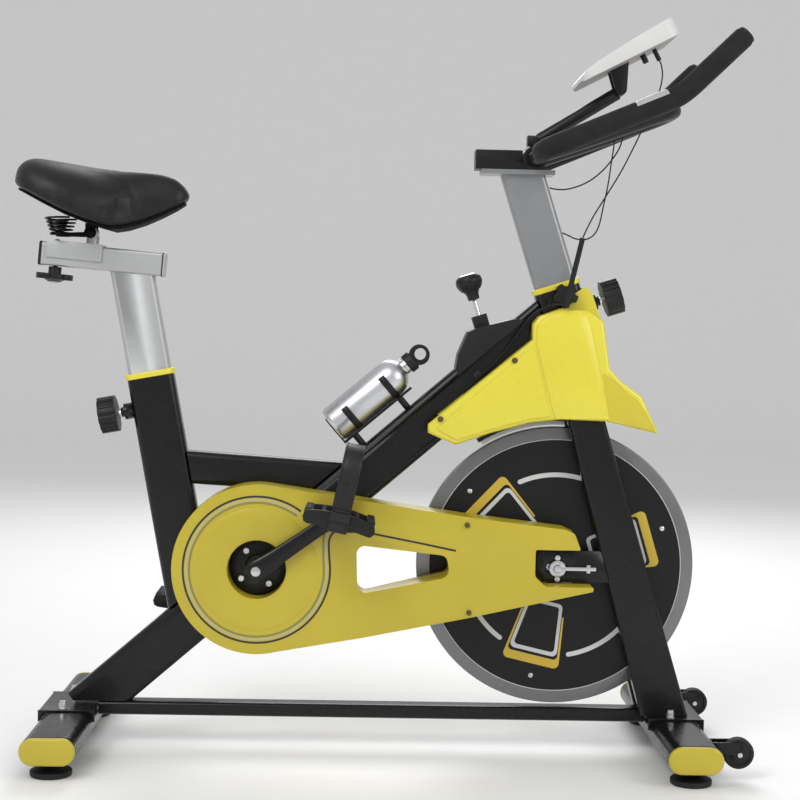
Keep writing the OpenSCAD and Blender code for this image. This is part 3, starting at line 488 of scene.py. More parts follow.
SADDLE_SILVER = surface("pale_silver_paint", (0.42, 0.425, 0.43), 0.4, metallic=0.4, mottle=0.05,
                        grain=2600.0, grain_depth=0.00005, wear=0.25, worn=(0.7, 0.7, 0.7), coat=0.25,
                        coat_rough=0.22)
PAN = surface("pan_plastic", (0.005, 0.005, 0.0055), 0.78, specular=0.1, mottle=0.12, grain_depth=0.0002,
              wear=0.15)
ZINC = surface("zinc_steel", (0.62, 0.62, 0.64), 0.27, metallic=1.0, mottle=0.15, grain=800.0,
               grain_depth=0.00006, wear=0.3, worn=(0.8, 0.8, 0.8))
DARK_SCREW = surface("dark_screw", (0.14, 0.11, 0.05), 0.34, metallic=0.9, mottle=0.15, grain=900.0,
                     grain_depth=0.00006, wear=0.3, worn=(0.5, 0.45, 0.3))
CHROME = surface("chrome", (0.78, 0.78, 0.80), 0.09, metallic=1.0, spread=0.06, mottle=0.05, grain=500.0,
                 grain_depth=0.00001, wear=0.0)
RIM = brushed("rim_steel", (0.22, 0.22, 0.225), 0.3, centre=HUB)
ALUMINIUM = brushed("bottle_metal", (0.66, 0.67, 0.69), 0.3, turn=math.radians(40.7), streak=160.0)
GOLD = surface("gold_print", (0.56, 0.39, 0.035), 0.4, mottle=0.12, wear=0.2)
PALE = surface("pale_print", (0.55, 0.56, 0.56), 0.42, mottle=0.1, wear=0.2)
PALE_OLIVE = surface("pale_olive_print", (0.46, 0.42, 0.18), 0.4, mottle=0.1, wear=0.2)
OLIVE = surface("olive_print", (0.25, 0.22, 0.055), 0.4, mottle=0.12, wear=0.2)
DARK_PRINT = surface("dark_print", (0.02, 0.02, 0.02), 0.4, mottle=0.2, wear=0.2)
CASE = surface("console_plastic", (0.66, 0.655, 0.645), 0.38, mottle=0.04, grain_depth=0.00008, wear=0.15,
               worn=(0.8, 0.8, 0.78), dust=0.03)
CASE_DARK = surface("console_underside", (0.36, 0.345, 0.34), 0.5, mottle=0.08, grain_depth=0.0001)
SCREEN = surface("screen", (0.10, 0.125, 0.10), 0.12, mottle=0.08, grain=2500.0, grain_depth=0.00001,
                 wear=0.0, coat=0.8, coat_rough=0.03)
CABLE = surface("cable_rubber", (0.007, 0.007, 0.007), 0.5, specular=0.3, mottle=0.2, grain=2200.0,
                wear=0.0)
VINYL = leather("saddle_vinyl", (0.006, 0.006, 0.0066), 0.44)
FOAM = foam("grip_foam", (0.009, 0.009, 0.0095), 0.78)
FELT = felt("felt", (0.50, 0.50, 0.48))


# ---- Cords ----

WIRE_D = 2.5
RIGHT_WIRE = [(404, -52.4, 1067.6), (402, -46, 1059), (399, -38, 1047), (391, -32, 1032), (376, -22, 1012),
              (357, -12, 995), (336, -4, 984), (314, 0, 978), (296, 0, 978), (286, 0, 980)]
LEFT_WIRE = [(404, 52.4, 1067.6), (402, 47, 1054), (398, 38, 1034), (394, 31, 1008), (389, 24, 980),
             (382, 16, 950), (375, 8, 920), (366, 4, 902), (352, 2, 893), (335, 0, 893), (320, 0, 899),
             (310, 0, 903)]
DROP_WIRE = [(466.1, -22, 1199), (470, -22, 1190), (472, -22, 1172), (467, -24, 1146), (454, -26, 1110),
             (439, -44.5, 1085), (424, -38, 1050), (402, -42, 1006), (376, -56, 964), (352, -66, 925),
             (336.3, -70, 892.1)]


def wire(name, points, node):
    """A thin signal wire along its route, as a mesh tube."""
    line = smooth_mm(points)
    obj = tube(name, line, WIRE_D / 2, CABLE, 10)
    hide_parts(node)
    return obj


def make_wires():
    plugs = refined("console_plugs", "console", PLASTIC, 0.8)
    right = wire("right_wire", RIGHT_WIRE, "grip_wires")
    left = wire("left_wire", LEFT_WIRE, "grip_wires")
    for obj in (right, left):
        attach(obj, "handlebar_post")
    # the console's wire touches the bar's loop on its way, so it is two stretches
    upper = wire("console_wire_upper", DROP_WIRE[:6], "console_wire")
    lower = wire("console_wire_lower", DROP_WIRE[5:], "console_wire")
    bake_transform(upper)
    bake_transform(lower)


# ---- Tubes, base and fixings ----

def make_frame():
    for node, width in (("main_beam", 0.0), ("seat_tube", 0.0), ("top_tube", 0.0), ("head_tube", 0.0),
                        ("fork_legs", 0.0), ("bottom_rail", 0.0), ("bottom_bracket", 0.0006),
                        ("stabilisers", 0.0), ("axle_plates", 0.0008), ("stabiliser_brackets", 0.0006)):
        refined(node, "frame", BLACK, width)
    refined("post_collars", "frame", LEMON, 1.5, 3)
    bolts = refined("frame_bolts", "frame", ZINC, 0.5, 2)
    bolts.data.materials.append(DARK_SCREW)
    for face in bolts.data.polygons:
        c = face.center
        tensioner = 0.25 < c.x < 0.42 and 0.28 < c.z < 0.38
        face.material_index = 1 if c.z > 0.22 and not tensioner else 0
    refined("bottle_cage", "frame", SATIN_BLACK, 0.5)
    refined("flywheel_axle", "frame", ZINC, 0.4)
    refined("chain", "frame", ZINC, 0)


make_camera()
make_wires()
make_frame()


# ---- Outline helpers ----

def filleted(corners, steps=6):
    """A closed outline from (x, y, radius) corners, with each corner rounded by an arc."""
    points, count = [], len(corners)
    for i, (x, y, r) in enumerate(corners):
        here = Vector((x, y))
        before = (Vector(corners[i - 1][:2]) - here)
        after = (Vector(corners[(i + 1) % count][:2]) - here)
        if r <= 0:
            points.append((x, y))
            continue
        a, b = before.normalized(), after.normalized()
        half = a.angle(b) / 2
        cut = min(r / math.tan(half), 0.48 * before.length, 0.48 * after.length)
        r = cut * math.tan(half)
        centre = here + (a + b).normalized() * (r / math.sin(half))
        start, end = here + a * cut - centre, here + b * cut - centre
        turn = start.angle_signed(end)
        for k in range(steps + 1):
            angle = -turn * k / steps
            c, s = math.cos(angle), math.sin(angle)
            points.append((centre.x + start.x * c - start.y * s, centre.y + start.x * s + start.y * c))
    return points


def ribbon(line, width):
    """Outline of a flat strip along a line of 2D points."""
    left, right = [], []
    for i, p in enumerate(line):
        d = direction(line, i)
        n = Vector((-d.y, d.x)) * width / 2
        left.append(tuple(p + n))
        right.append(tuple(p - n))
    return left + right[::-1]


def bevel_where(obj, test, width, segments=4):
    """Rounds the edges whose two ends pass the test and whose faces meet at an angle."""
    with editing(obj.data) as bm:
        edges = [e for e in bm.edges if all(test(v.co) for v in e.verts)
                 and len(e.link_faces) == 2 and e.calc_face_angle() > math.radians(40)]
        bmesh.ops.bevel(bm, geom=edges, offset=width / 1000, segments=segments, profile=0.5, affect="EDGES",
                        clamp_overlap=True)
    finish_normals(obj.data)


def open_shell(obj, test, thickness):
    """Takes away the faces that pass the test and gives what is left a wall."""
    with editing(obj.data) as bm:
        gone = [f for f in bm.faces if all(test(v.co) for v in f.verts)]
        bmesh.ops.delete(bm, geom=gone, context="FACES")
    modify(obj, ("SOLIDIFY", {"thickness": thickness / 1000, "offset": -1, "use_even_offset": True}))


def square(x0, x1, y0, y1):
    return [(x0, y0), (x1, y0), (x1, y1), (x0, y1)]


# ---- Chain cover ----

LOBE_R = 143.5
COVER_FACE = 86
COVER_BACK = 40.5


def around(radius, first, last, step):
    """Points of a circle round the crank's axle, between two angles in degrees."""
    turns = [math.radians(a) for a in range(first, last, step)]
    return [(BB.x * 1000 + radius * math.cos(a), BB.z * 1000 + radius * math.sin(a)) for a in turns]


def make_chain_cover():
    rear = [(-23, 208, 60), (157, 245, 30), (368, 293, 3), (368, 300, 2), (286, 300, 16), (268, 317, 12),
            (268, 363, 4), (345, 363, 2), (334, 391, 8), (318, 398, 10), (154, 416, 60)]
    outline = filleted([(x, z, 0) for x, z in around(LOBE_R, 80, 286, 5)] + rear)
    window = filleted([(-35, 366, 14), (-33, 282, 15), (124, 314, 16), (118, 350, 14)], 8)
    hole = circle_outline(BB.x * 1000, BB.z * 1000, 49.5, 72)
    shell = prism("cover_shell", outline, facing(-1, mm(0, -COVER_BACK, 0)), COVER_FACE - COVER_BACK,
                  YELLOW, [window, hole])

    def on_face(point):
        return point.y < -COVER_FACE / 1000 + 1e-5

    bevel_where(shell, lambda v: on_face(v) and (v - BB).xz.length > 0.055, 6, 5)
    bevel_where(shell, lambda v: on_face(v) and (v - BB).xz.length < 0.052, 1.5, 3)
    open_shell(shell, lambda v: v.y > -COVER_BACK / 1000 - 1e-5, 2.5)
    set_parts(shell, "frame", ["chain_cover"])
    # a low round plateau with soft shoulders around the crank's hole
    plateau = [(50.5, -1), (50.5, 0.6), (52, 1.2), (56, 1.4), (92, 1.4), (98, 1.1), (104, 0.1), (106, -1)]
    dome = lathe("cover_plateau", plateau, facing(-1, mm(BB.x * 1000, -COVER_FACE, BB.z * 1000)), YELLOW,
                 128)
    set_parts(dome, "frame")
    make_cover_stripes()
    refined("chain_cover_back", "frame", YELLOW, 0)


def make_cover_stripes():
    """Printed lines round the lobe from the upper right, anticlockwise, then off towards the fork."""
    dark_exit = [(121, 42), (122, 54), (128, 65), (139, 71), (153, 72), (215, 61), (280, 49), (336, 38)]
    pale_exit = [(117, 42), (117, 55), (121, 67), (132, 75), (150, 79), (171, 77)]
    olive_exit = [(112, 42), (112, 56), (116, 70), (127, 79), (149, 83), (171, 81)]
    for name, radius, width, ends, material in (("stripe_dark", 124, 3.4, dark_exit, DARK_PRINT),
                                                ("stripe_pale", 118.5, 4.2, pale_exit, PALE_OLIVE),
                                                ("stripe_olive", 113.5, 3.6, olive_exit, OLIVE)):
        away = [(BB.x * 1000 + p.x, BB.z * 1000 + p.y) for p in spline_points([(x, y, 0) for x, y in ends])]
        line = [Vector(p) for p in around(radius, 54, 372, 3) + away]
        obj = prism(name, ribbon(line, width), facing(-1, mm(0, -COVER_FACE, 0)), 0.3, material)
        set_parts(obj, "frame")


# ---- Crankset ----

def crank_arm(name, side):
    """A forged arm: wide at the spindle, slim and rounded along its length, with a round eye."""
    # distance from the spindle, half width, thickness
    sections = [(-19, 12, 10), (-16, 17, 14), (0, 19.5, 15.8), (16, 17.5, 15), (35, 15, 13),
                (80, 13.5, 11.8), (130, 12.8, 11.5), (150, 14, 12.8), (163, 15.5, 14), (172, 15.5, 14),
                (181, 11.5, 12.5), (185, 5, 10)]
    along = -side * PEDAL_UP.normalized()
    across = along.cross(Vector((0, 1, 0)))
    rings = []
    for s, half, thick in sections:
        centre = BB + along * s / 1000 + mm(0, side * (92.5 + thick / 2), 0)
        ring = []
        for k in range(20):
            a = math.tau * k / 20
            u, v = [math.copysign(abs(w) ** 0.7, w) for w in (math.cos(a), math.sin(a))]
            ring.append(centre + across * u * half / 1000 + mm(0, v * thick / 2, 0))
        rings.append(ring)
    obj = skin(name, rings, BLACK, 60)
    modify(obj, ("SUBSURF", {"levels": 1, "render_levels": 1}), angle=60)
    return obj


def make_crankset():
    for side, word in SIDES:
        arm = crank_arm(f"{word}_crank_arm", side)
        set_parts(arm, "crankset", ["cranks"])
        eye = BB - side * PEDAL_UP
        cap = lathe(f"{word}_crank_cap", [(0, 3.5), (4, 3.3), (7.5, 2.4), (8.5, 1), (8.5, -2), (0, -2)],
                    facing(side, BB + mm(0, side * 107.5, 0)), ZINC, 40)
        axle = lathe(f"{word}_pedal_axle", [(0, 0), (8.5, 0), (8.5, 4), (6, 6), (6, 93), (0, 93)],
                     facing(side, eye + mm(0, side * 106.5, 0)), ZINC, 40)
        set_parts(cap, "crankset")
        set_parts(axle, "crankset")
    refined("crank_spindle", "crankset", ZINC, 0.5)
    refined("chainring", "crankset", SATIN_BLACK, 0.3)
    plate = lathe("carrier_plate", [(0, 4.5), (18, 4.5), (20, 3.5), (22.5, 0.8), (30, 0.6), (44.5, 0.6),
                                    (46.5, -0.4), (46.8, -3)], facing(-1, BB - mm(0, 50, 0)), SATIN_BLACK)
    set_parts(plate, "crankset")
    for i in range(4):
        a = CRANK_TILT + i * math.pi / 2
        at = facing(-1, BB + mm(34 * math.cos(a), -54.5, 34 * math.sin(a)))
        bolt = lathe(f"carrier_bolt_{i}", [(0, 0.8), (2.2, 0.8), (2.8, 2.6), (4.5, 2.6), (5.5, 1.8),
                                           (5.8, 0), (5.8, -1)], at, ZINC, 32)
        set_parts(bolt, "crankset")


# ---- Pedals ----

def pedal_frame(side):
    """Local X runs along the pedal, Y across the bike away from it, and Z up out of the tread."""
    tilt = Matrix.Rotation(math.radians(11), 4, "Y")
    return Matrix.Translation(BB - side * PEDAL_UP) @ tilt @ Matrix.Diagonal((1, side, 1, 1))


def make_pedal(side, word):
    def across(y):
        """Outlines in the pedal's X and Z, given thickness inwards from y."""
        return pedal_frame(side) @ shift(0, y, 0) @ Matrix.Rotation(math.radians(90), 4, "X")

    def outwards(y):
        return pedal_frame(side) @ shift(0, y, 0) @ Matrix.Rotation(math.radians(-90), 4, "X")

    wing = [(-60, -4, 3), (-52, -13, 6), (-30, -12, 8), (-16, -15, 8), (16, -15, 8), (30, -12, 8),
            (54, -16, 6), (61, -8, 4), (58, 4, 6), (40, 10, 8), (16, 14, 8), (-16, 14, 8), (-40, 12, 8),
            (-58, 8, 5)]
    pieces = [prism("plate", filleted(wing, 5), across(y), 7, PLASTIC, bevel=1.6, segments=3)
              for y in (123, 205)]
    for x, half in ((-51, 7), (-27, 4), (27, 4), (51, 7)):
        block = square(x - half, x + half, -11, 11)
        pieces.append(prism("tread", block, across(200), 80, PLASTIC, bevel=2, segments=3))
        for k in range(9):
            for up in (1, -1):
                tooth = [(x - half + 1, 10 * up), (x + half - 1, 10 * up), (x + half - 2, 12.4 * up),
                         (x - half + 2, 12.4 * up)]
                pieces.append(prism("tooth", tooth, across(126 + k * 8.8), 3.5, PLASTIC, bevel=0.4,
                                    segments=1))
    pieces.append(lathe("barrel", [(7.5, 0), (12, 0), (13.5, 2), (13.5, 12), (11.5, 16), (11, 70),
                                   (13.5, 75), (13.5, 88.5), (12, 89.5), (0, 89.5)], outwards(116), PLASTIC,
                        48))
    set_parts(joined(f"{word}_pedal_body", pieces), f"{word}_pedal_body",
              [f"{word}_pedal"])
    cap = lathe(f"{word}_pedal_cap", [(0, 1.6), (3.5, 1.6), (4, 1), (6, 1), (6.5, 1.7), (8.5, 1.7),
                                      (10, 0.8), (10.5, -1)], outwards(205), CHROME, 48)
    set_parts(cap, f"{word}_pedal_body")


def make_strap(side, word):
    """A moulded strap over the toes: a band with slots, a ridge along each edge and a buckle."""
    place = pedal_frame(side)
    middle, radius = 160.5, 46.7
    heights = (-16.5, 0, 30, 55, 70)
    arch = [math.radians(180 - 180 * i / 24) for i in range(1, 24)]
    line = [Vector((middle - radius, z)) for z in heights]
    line += [Vector((middle + radius * math.cos(a), 78 + radius * math.sin(a))) for a in arch]
    line += [Vector((middle + radius, z)) for z in reversed(heights)]
    pieces = []
    for x0, x1, lift in ((-15.5, -12.5, 1.8), (-12.5, 12.5, 1.1), (12.5, 15.5, 1.8)):
        rings = []
        for i, p in enumerate(line):
            d = direction(line, i)
            out = Vector((-d.y, d.x)) * lift
            lean = 0.012 * p.y
            rings.append([place @ mm(x + lean, *(p + out * way)) for x,
                          way in ((x0, -1), (x1, -1), (x1, 1), (x0, 1))])
        band = skin("band", rings, STRAP, 40)
        round_edges(band, 0.4, 2, 50)
        pieces.append(band)

    def outside(z):
        return place @ shift(0, middle + radius + 1, z) @ Matrix.Rotation(math.radians(-90), 4, "X")

    for z in (22, 36, 50, 64):
        pieces.append(prism("slot", round_outline(15, 7, 2.5), outside(z), 1.4, STRAP,
                            [round_outline(11, 3.6, 1.5)], bevel=0.3, segments=1))
    pieces.append(prism("buckle", round_outline(33, 16, 3), outside(8), 4.5, STRAP, bevel=1.2, segments=3))
    pieces.append(prism("buckle_bar", square(-14, 14, -11.5, -9), outside(8), 6, STRAP, bevel=0.6,
                        segments=2))
    under = place @ shift(0, middle - radius, -16.5) @ Matrix.Rotation(math.radians(-90), 4, "X")
    pieces.append(prism("under", square(-15.5, 15.5, -1.6, 1.6), under, 2 * radius, STRAP, bevel=0.4,
                        segments=1))
    set_parts(joined(f"{word}_toe_strap", pieces), f"{word}_pedal_body", [f"{word}_strap"])


make_chain_cover()
make_crankset()
for pedal_side, pedal_word in SIDES:
    make_pedal(pedal_side, pedal_word)
    make_strap(pedal_side, pedal_word)


# ---- Flywheel ----

def disc_prints(face):
    """The printed line, and three gold and pale frames with arcs between them."""
    prints = [prism("line", circle_outline(0, 0, 219.8, 160), face, 0.2, PALE,
                    [circle_outline(0, 0, 218.6, 160)])]
    gold = filleted([(85, -38, 1), (176, -51, 9), (176, 51, 9), (85, 38, 1), (85, 35, 1), (161, 45, 7),
                     (161, -45, 7), (85, -35, 1)])
    pale = filleted([(64, -31, 8), (156, -43, 9), (156, 43, 9), (64, 31, 8)])
    hollow = filleted([(70, -26, 5), (149, -36.5, 6), (149, 36.5, 6), (70, 26, 5)])
    for turn in (17, 137, 257):
        spin = face @ Matrix.Rotation(math.radians(turn), 4, "Z")
        prints.append(prism("gold", gold, spin, 0.3, GOLD))
        prints.append(prism("pale", pale, spin, 0.3, PALE, [hollow]))
        first, last = turn + 23, turn + 97
        prints.append(prism("arc", arc_band(154, 162, first, last, 40), face, 0.3, PALE))
        for end in (first, last):
            t = math.radians(end)
            spot = circle_outline(158 * math.cos(t), 158 * math.sin(t), 4, 24)
            prints.append(prism("end", spot, face @ shift(0, 0, 0.02), 0.3, PALE))
    return prints


def make_flywheel():
    refined("flywheel", "flywheel_wheel", RIM, 1.5, 3)
    refined("flywheel_discs", "flywheel_wheel", DISC_BLACK, 0)
    refined("flywheel_hub", "flywheel_wheel", ZINC, 0.6)
    for side, word in SIDES:
        face = facing(side, HUB + mm(0, side * 13.02, 0))
        set_parts(joined(f"{word}_disc_print", disc_prints(face)), "flywheel_wheel")
        screws = []
        for turn in (20, 140, 259):
            t = math.radians(turn)
            at = face @ shift(197 * math.cos(t), 197 * math.sin(t), 0)
            screws.append(lathe("screw", [(0, 2.2), (2.2, 2), (4, 1.2), (4.6, 0), (4.6, -0.8)], at, ZINC,
                                24))
        set_parts(joined(f"{word}_disc_screws", screws), "flywheel_wheel")


make_flywheel()


# ---- Front shroud ----

SHROUD_SIDE = 61
# the column over the fork: height z, (rear edge, two folds, front edge), how far it stands out
COLUMN = [(584.5, (297, 324, 379, 392), 3.6), (650, (279, 312, 368, 377), 4.6),
          (714, (262, 298, 350, 363), 5.4), (742, (264, 296, 341, 356), 5.4),
          (758, (281, 299, 335, 350), 4.4), (768.5, (303, 309, 326, 340), 1.2)]


def shroud_column(side):
    """A raised column over the fork leg, folded along two slanting lines."""
    rings = []
    for z, (rear, fold, second, front), out in COLUMN:
        # place along the row, and the share of the way out from the shroud's side
        row = [(rear + 0.6, 0.3), (rear + 2.6, 0.52), (fold - 2.5, 0.94), (fold + 2.5, 1),
               (second - 2.5, 0.98), (second + 2, 0.8), (front - 2.2, 0.4), (front - 0.5, 0.15)]
        face = [(rear, SHROUD_SIDE - 1)] + [(x, SHROUD_SIDE + out * share) for x, share in row]
        rings.append([mm(x, side * y, z) for x, y in face + [(front, SHROUD_SIDE - 1)]])
    obj = skin("column", rings, LEMON, 12)
    settings = {"width": 0.0012, "segments": 3, "limit_method": "ANGLE", "angle_limit": math.radians(9)}
    modify(obj, ("BEVEL", settings), angle=30)
    return obj


def shroud_fin(side):
    """The fin's hollowed side, painted a darker yellow than the shroud's face as painted shade for the
    hollow.
    """
    outline = filleted([(392, 586, 2), (470, 566, 3), (443, 615, 6), (417, 635, 6), (396, 656, 2),
                        (378, 664, 2)])
    wing = prism("fin", outline, facing(side, mm(0, side * 60.9, 0)), 0.9, FIN_SHADE_YELLOW, (), 0.6, 2)
    ridge = [(x, side * 61.6, z) for x, z in ((381, 662), (400, 650), (420, 632), (444, 612), (470, 567))]
    root = [(x, side * 61.2, z) for x, z in ((379, 662), (385, 628), (393, 587))]
    return [wing, tube("fin_edge", smooth_mm(ridge), 1.3, LEMON, 10),
            tube("fin_root", smooth_mm(root), 1.1, FIN_SHADE_YELLOW, 10)]


def make_shroud():
    shell = refined("front_shroud", "frame", LEMON, 0)
    bevel_where(shell, lambda v: abs(v.y) > 0.0605, 6, 5)
    panel = filleted([(97, 563, 3), (131, 545, 6), (188, 564, 20), (255, 583, 20), (291, 588, 3),
                      (260, 706, 4), (254, 702, 4)])
    for side, word in SIDES:
        rear = prism("panel", panel, facing(side, mm(0, side * 60.9, 0)), 2.2, LEMON, (), 1.9, 4)
        set_parts(joined(f"{word}_shroud_panels", [rear, shroud_column(side), *shroud_fin(side)]), "frame")


# ---- Beam cover, brake and tension knob ----

ROD = leaning(mm(146, 0, 828), -17.6)


def make_brake():
    refined("beam_cover", "frame", PLASTIC, 3, 3)
    ribs = []
    for i in range(5):
        x, z = 131.4 + i * 3.2, 672 + i * 10
        rib = [(x - 1.6, z), (x + 6, z), (x + 7, z + 4), (x - 0.6, z + 4)]
        ribs.append(prism("rib", rib, facing(-1, mm(0, 30, 0)), 60, PLASTIC, (), 0.8, 2))
    block = prism("guide", square(-13, 13, -13, 13), ROD @ shift(0, 0, -102), 28.4, PLASTIC,
                  [circle_outline(0, 0, 4.6, 32)], 2.2, 3)
    set_parts(joined("beam_cover_ribs", [*ribs, block]), "frame")
    refined("brake_rod", "brake_plunger", CHROME, 0.3)
    refined("brake_pad", "brake_plunger", PLASTIC, 1.5, 3)
    refined("brake_felt", "brake_plunger", FELT, 0.6)
    knob = lathe("knob", [(4.2, -45.5), (9.5, -46), (10.2, -43), (10.8, -36), (14.5, -29), (19.5, -22.5),
                          (21.8, -18), (22.9, -12.5), (22.2, -8), (20, -4.8), (16.5, -2.3), (15.5, -2.2)],
                 ROD, PLASTIC)
    bore = lathe("bore", [(4.2, -45.5), (4.2, -20), (0, -19.8)], ROD, PLASTIC, 48)
    set_parts(joined("tension_knob_shape", [knob, bore]), "brake_knob", ["tension_knob"])
    cap = lathe("tension_knob_cap", [(15.5, -3), (15.2, -1.6), (13, -0.7), (7, -0.1), (0, 0)], ROD, CHROME,
                64)
    set_parts(cap, "brake_knob")
    flutes = []
    for i in range(12):
        at = ROD @ Matrix.Rotation(math.tau * i / 12, 4, "Z")
        line = [at @ mm(x, 0, z) for x, z in ((15, -29), (19.6, -23), (21.9, -18), (22.6, -13))]
        flutes.append(tube("flute", line, 0.9, PLASTIC, 8))
    set_parts(joined("tension_knob_flutes", flutes), "brake_knob")


# ---- Cable and grommet ----

def make_beam_cable():
    cable = refined("beam_cable", "frame", CABLE, 0)
    finish_normals(cable.data, 60)
    grommet = lathe("grommet", [(7.8, -3.2), (7.8, 0), (7, 1), (4.5, 1.8), (2.4, 2)],
                    facing(-1, mm(168, -23.5, 655)), RUBBER, 40)
    set_parts(grommet, "frame")


make_shroud()
make_brake()
make_beam_cable()


# ---- Saddle ----

# from tail to nose: x, top z, bottom z, half width
SADDLE = [(-625, 984, 964, 40), (-612, 1000, 955, 77), (-594, 1007, 946, 95), (-565, 1003, 931, 104),
          (-530, 996, 914, 104), (-495, 990, 901, 92), (-465, 987, 893, 70), (-440, 986, 896, 52),
          (-410, 987, 905, 40), (-380, 987, 918, 33), (-355, 981, 931, 28), (-340, 969, 940, 20),
          (-333, 957, 948, 9)]


def saddle_ring(top, bottom, half, n):
    ring = []
    rim = bottom + 0.16 * (top - bottom)
    for k in range(n):
        a = math.tau * k / n - math.pi / 2
        u, v = math.cos(a), math.sin(a)
        y = half * math.copysign(abs(u) ** 0.78, u)
        z = rim + (top - rim) * abs(v) ** 0.9 if v > 0 else rim - (rim - bottom) * abs(v) ** 0.25
        ring.append((y, z))
    return ring


def saddle_rings():
    first = spline_points([(x, top, bottom) for x, top, bottom, half in SADDLE], 4)
    second = spline_points([(x, half, 0) for x, top, bottom, half in SADDLE], 4)
    return [[mm(p.x, y, z) for y, z in saddle_ring(p.y, p.z, q.y, 36)] for p, q in zip(first, second)]


def puff_up(obj):
    """Inflates a cushion by cloth simulation."""
    puff = obj.modifiers.new("puff", "CLOTH")
    puff.settings.use_pressure = True
    puff.settings.uniform_pressure_force = 4
    puff.settings.effector_weights.gravity = 0
    puff.point_cache.frame_start = 1
    puff.point_cache.frame_end = 20
    for frame_number in range(1, 21):
        scene.frame_set(frame_number)
    apply_modifiers(obj)


def make_cushion():
    obj = skin("cushion", saddle_rings(), VINYL, 60)
    modify(obj, ("REMESH", {"mode": "VOXEL", "voxel_size": 0.005}))
    start = [v.co.copy() for v in obj.data.vertices]
    puff_up(obj)
    longest_move = 0.006
    for vertex, before in zip(obj.data.vertices, start):
        move = vertex.co - before
        if move.length > longest_move:
            move *= longest_move / move.length
        # the underside lies on the pan, so it stays where it is
        loft = [row for row in SADDLE if row[0] / 1000 <= before.x] or SADDLE[:1]
        share = min(1.0, max(0.0, (before.z - loft[-1][2] / 1000 - 0.004) / 0.018))
        vertex.co = before + move * share
    modify(obj, ("SMOOTH", {"factor": 0.5, "iterations": 3}),
           ("SUBSURF", {"levels": 1, "render_levels": 1}), angle=60)
    obj.data.materials.clear()
    obj.data.materials.append(VINYL)
    obj.name = "cushion_cover"
    set_parts(obj, "saddle", ["saddle_cushion"])
    make_saddle_seam(obj)


def make_saddle_seam(cover):
    """A stitched line along each flank, laid on the cover where the top panel meets the side."""
    stitches = []
    for side in (-1, 1):
        line = []
        for i in range(60):
            x = -606 + 252 * i / 59
            at = max(k for k, row in enumerate(SADDLE) if row[0] <= x)
            (x0, _, z0, _), (x1, _, z1, _) = SADDLE[at:at + 2]
            z = z0 + (z1 - z0) * (x - x0) / (x1 - x0) + 12
            hit, where, normal, _ = cover.ray_cast(mm(x, side * 200, z), Vector((0, -side, 0)))
            if hit:
                line.append(where - normal * 0.0003)
        if len(line) > 8:
            stitches.append(tube("seam", line, 0.9, VINYL, 8))
    set_parts(joined("saddle_seams", stitches), "saddle")


def make_saddle_parts():
    refined("saddle_base", "saddle", PAN, 0.8)
    coils = []
    for side in (-1, 1):
        line = []
        for i in range(4 * 36 + 1):
            t = i / (4 * 36)
            a = math.radians(i * 10)
            r = 11 + 9 * t
            line.append(mm(-553 + r * math.cos(a), side * 36 + r * math.sin(a), 885 + 24 * t))
        coils.append(tube("coil", line, 1.8, BLACK, 12))
    set_parts(joined("spring_coils", coils), "saddle", ["saddle_springs"])


# ---- Seat post, slider and carriage ----

SLIDER = leaning(mm(-582, 0, 848.6), 94.4)


def make_seat_post():
    refined("seat_post", "saddle_post", SADDLE_SILVER, 0)
    refined("slider_tube", "saddle_post", SADDLE_SILVER, 0)
    outline = round_outline(41, 41, 5.5)
    rear = prism("rear_cap", outline, SLIDER @ shift(0, 0, -5), 5, PLASTIC, (), 1.2, 3)
    gasket = prism("front_cap", outline, SLIDER @ shift(0, 0, 205), 1.6, PLASTIC)
    set_parts(joined("slider_end_caps", [rear, gasket]), "saddle_post", ["slider_caps"])
    plate = prism("slider_front_plate", outline, SLIDER @ shift(0, 0, 206.6), 3.4, SADDLE_SILVER, (), 1.4,
                  3)
    set_parts(plate, "saddle_post")
    refined("carriage", "saddle_carriage", SADDLE_SILVER, 2.2, 3)
    refined("slider_knob", "carriage_knob", PLASTIC, 2.2, 3)
    under = SLIDER @ shift(0, 0, 22) @ Matrix.Rotation(math.radians(90), 4, "Y")
    dome = lathe("knob_centre", [(11.2, 46.6), (11, 47.4), (8.5, 48.6), (4.5, 49.4), (0, 49.7)], under,
                 SADDLE_SILVER, 48)
    set_parts(dome, "carriage_knob")


# ---- Pop pins and knobs ----

def make_pop_pin(node, body, place, boss_end):
    """A knob, hexagon and chromed shaft along local Z; boss_end is where the boss on the tube ends."""
    back = place.inverted()
    refined(node, body, PLASTIC, 1.6, 3,
            keep=lambda co: (back @ co).z > (boss_end + 11.5) / 1000)
    end = boss_end + 0.4
    shaft = lathe(node + "_shaft", [(0, 37.2), (5.2, 37.2), (5.95, 38.5), (5.95, end), (5, end + 1.2),
                                    (5, end + 12.8), (0, end + 13)], place, CHROME, 40)
    hexagon = circle_outline(0, 0, 8.6, 6)
    nut = prism(node + "_nut", hexagon, place @ shift(0, 0, end), 6, SATIN_BLACK, (), 0.8, 2)
    face = lathe(node + "_face", [(21.5, 0), (21.3, 0.6), (20.5, 0.9), (12.5, 0.5), (0, 0.4)],
                 place @ shift(0, 0, boss_end + 43), PLASTIC, 48)
    for piece in (shaft, nut, face):
        set_parts(piece, body)


def make_pins():
    seat = SEAT @ shift(0, 0, -52) @ Matrix.Rotation(math.radians(-90), 4, "Y")
    make_pop_pin("seat_pop_pin", "saddle_pin_knob", seat, 55)
    bar = HEAD @ shift(0, 0, -40) @ Matrix.Rotation(math.radians(90), 4, "Y")
    make_pop_pin("bar_pop_pin", "bar_pin_knob", bar, 60)
    refined("side_knob", "head_knob", PLASTIC, 1.4, 3)


make_cushion()
make_saddle_parts()
make_seat_post()
make_pins()


# ---- Handlebar ----

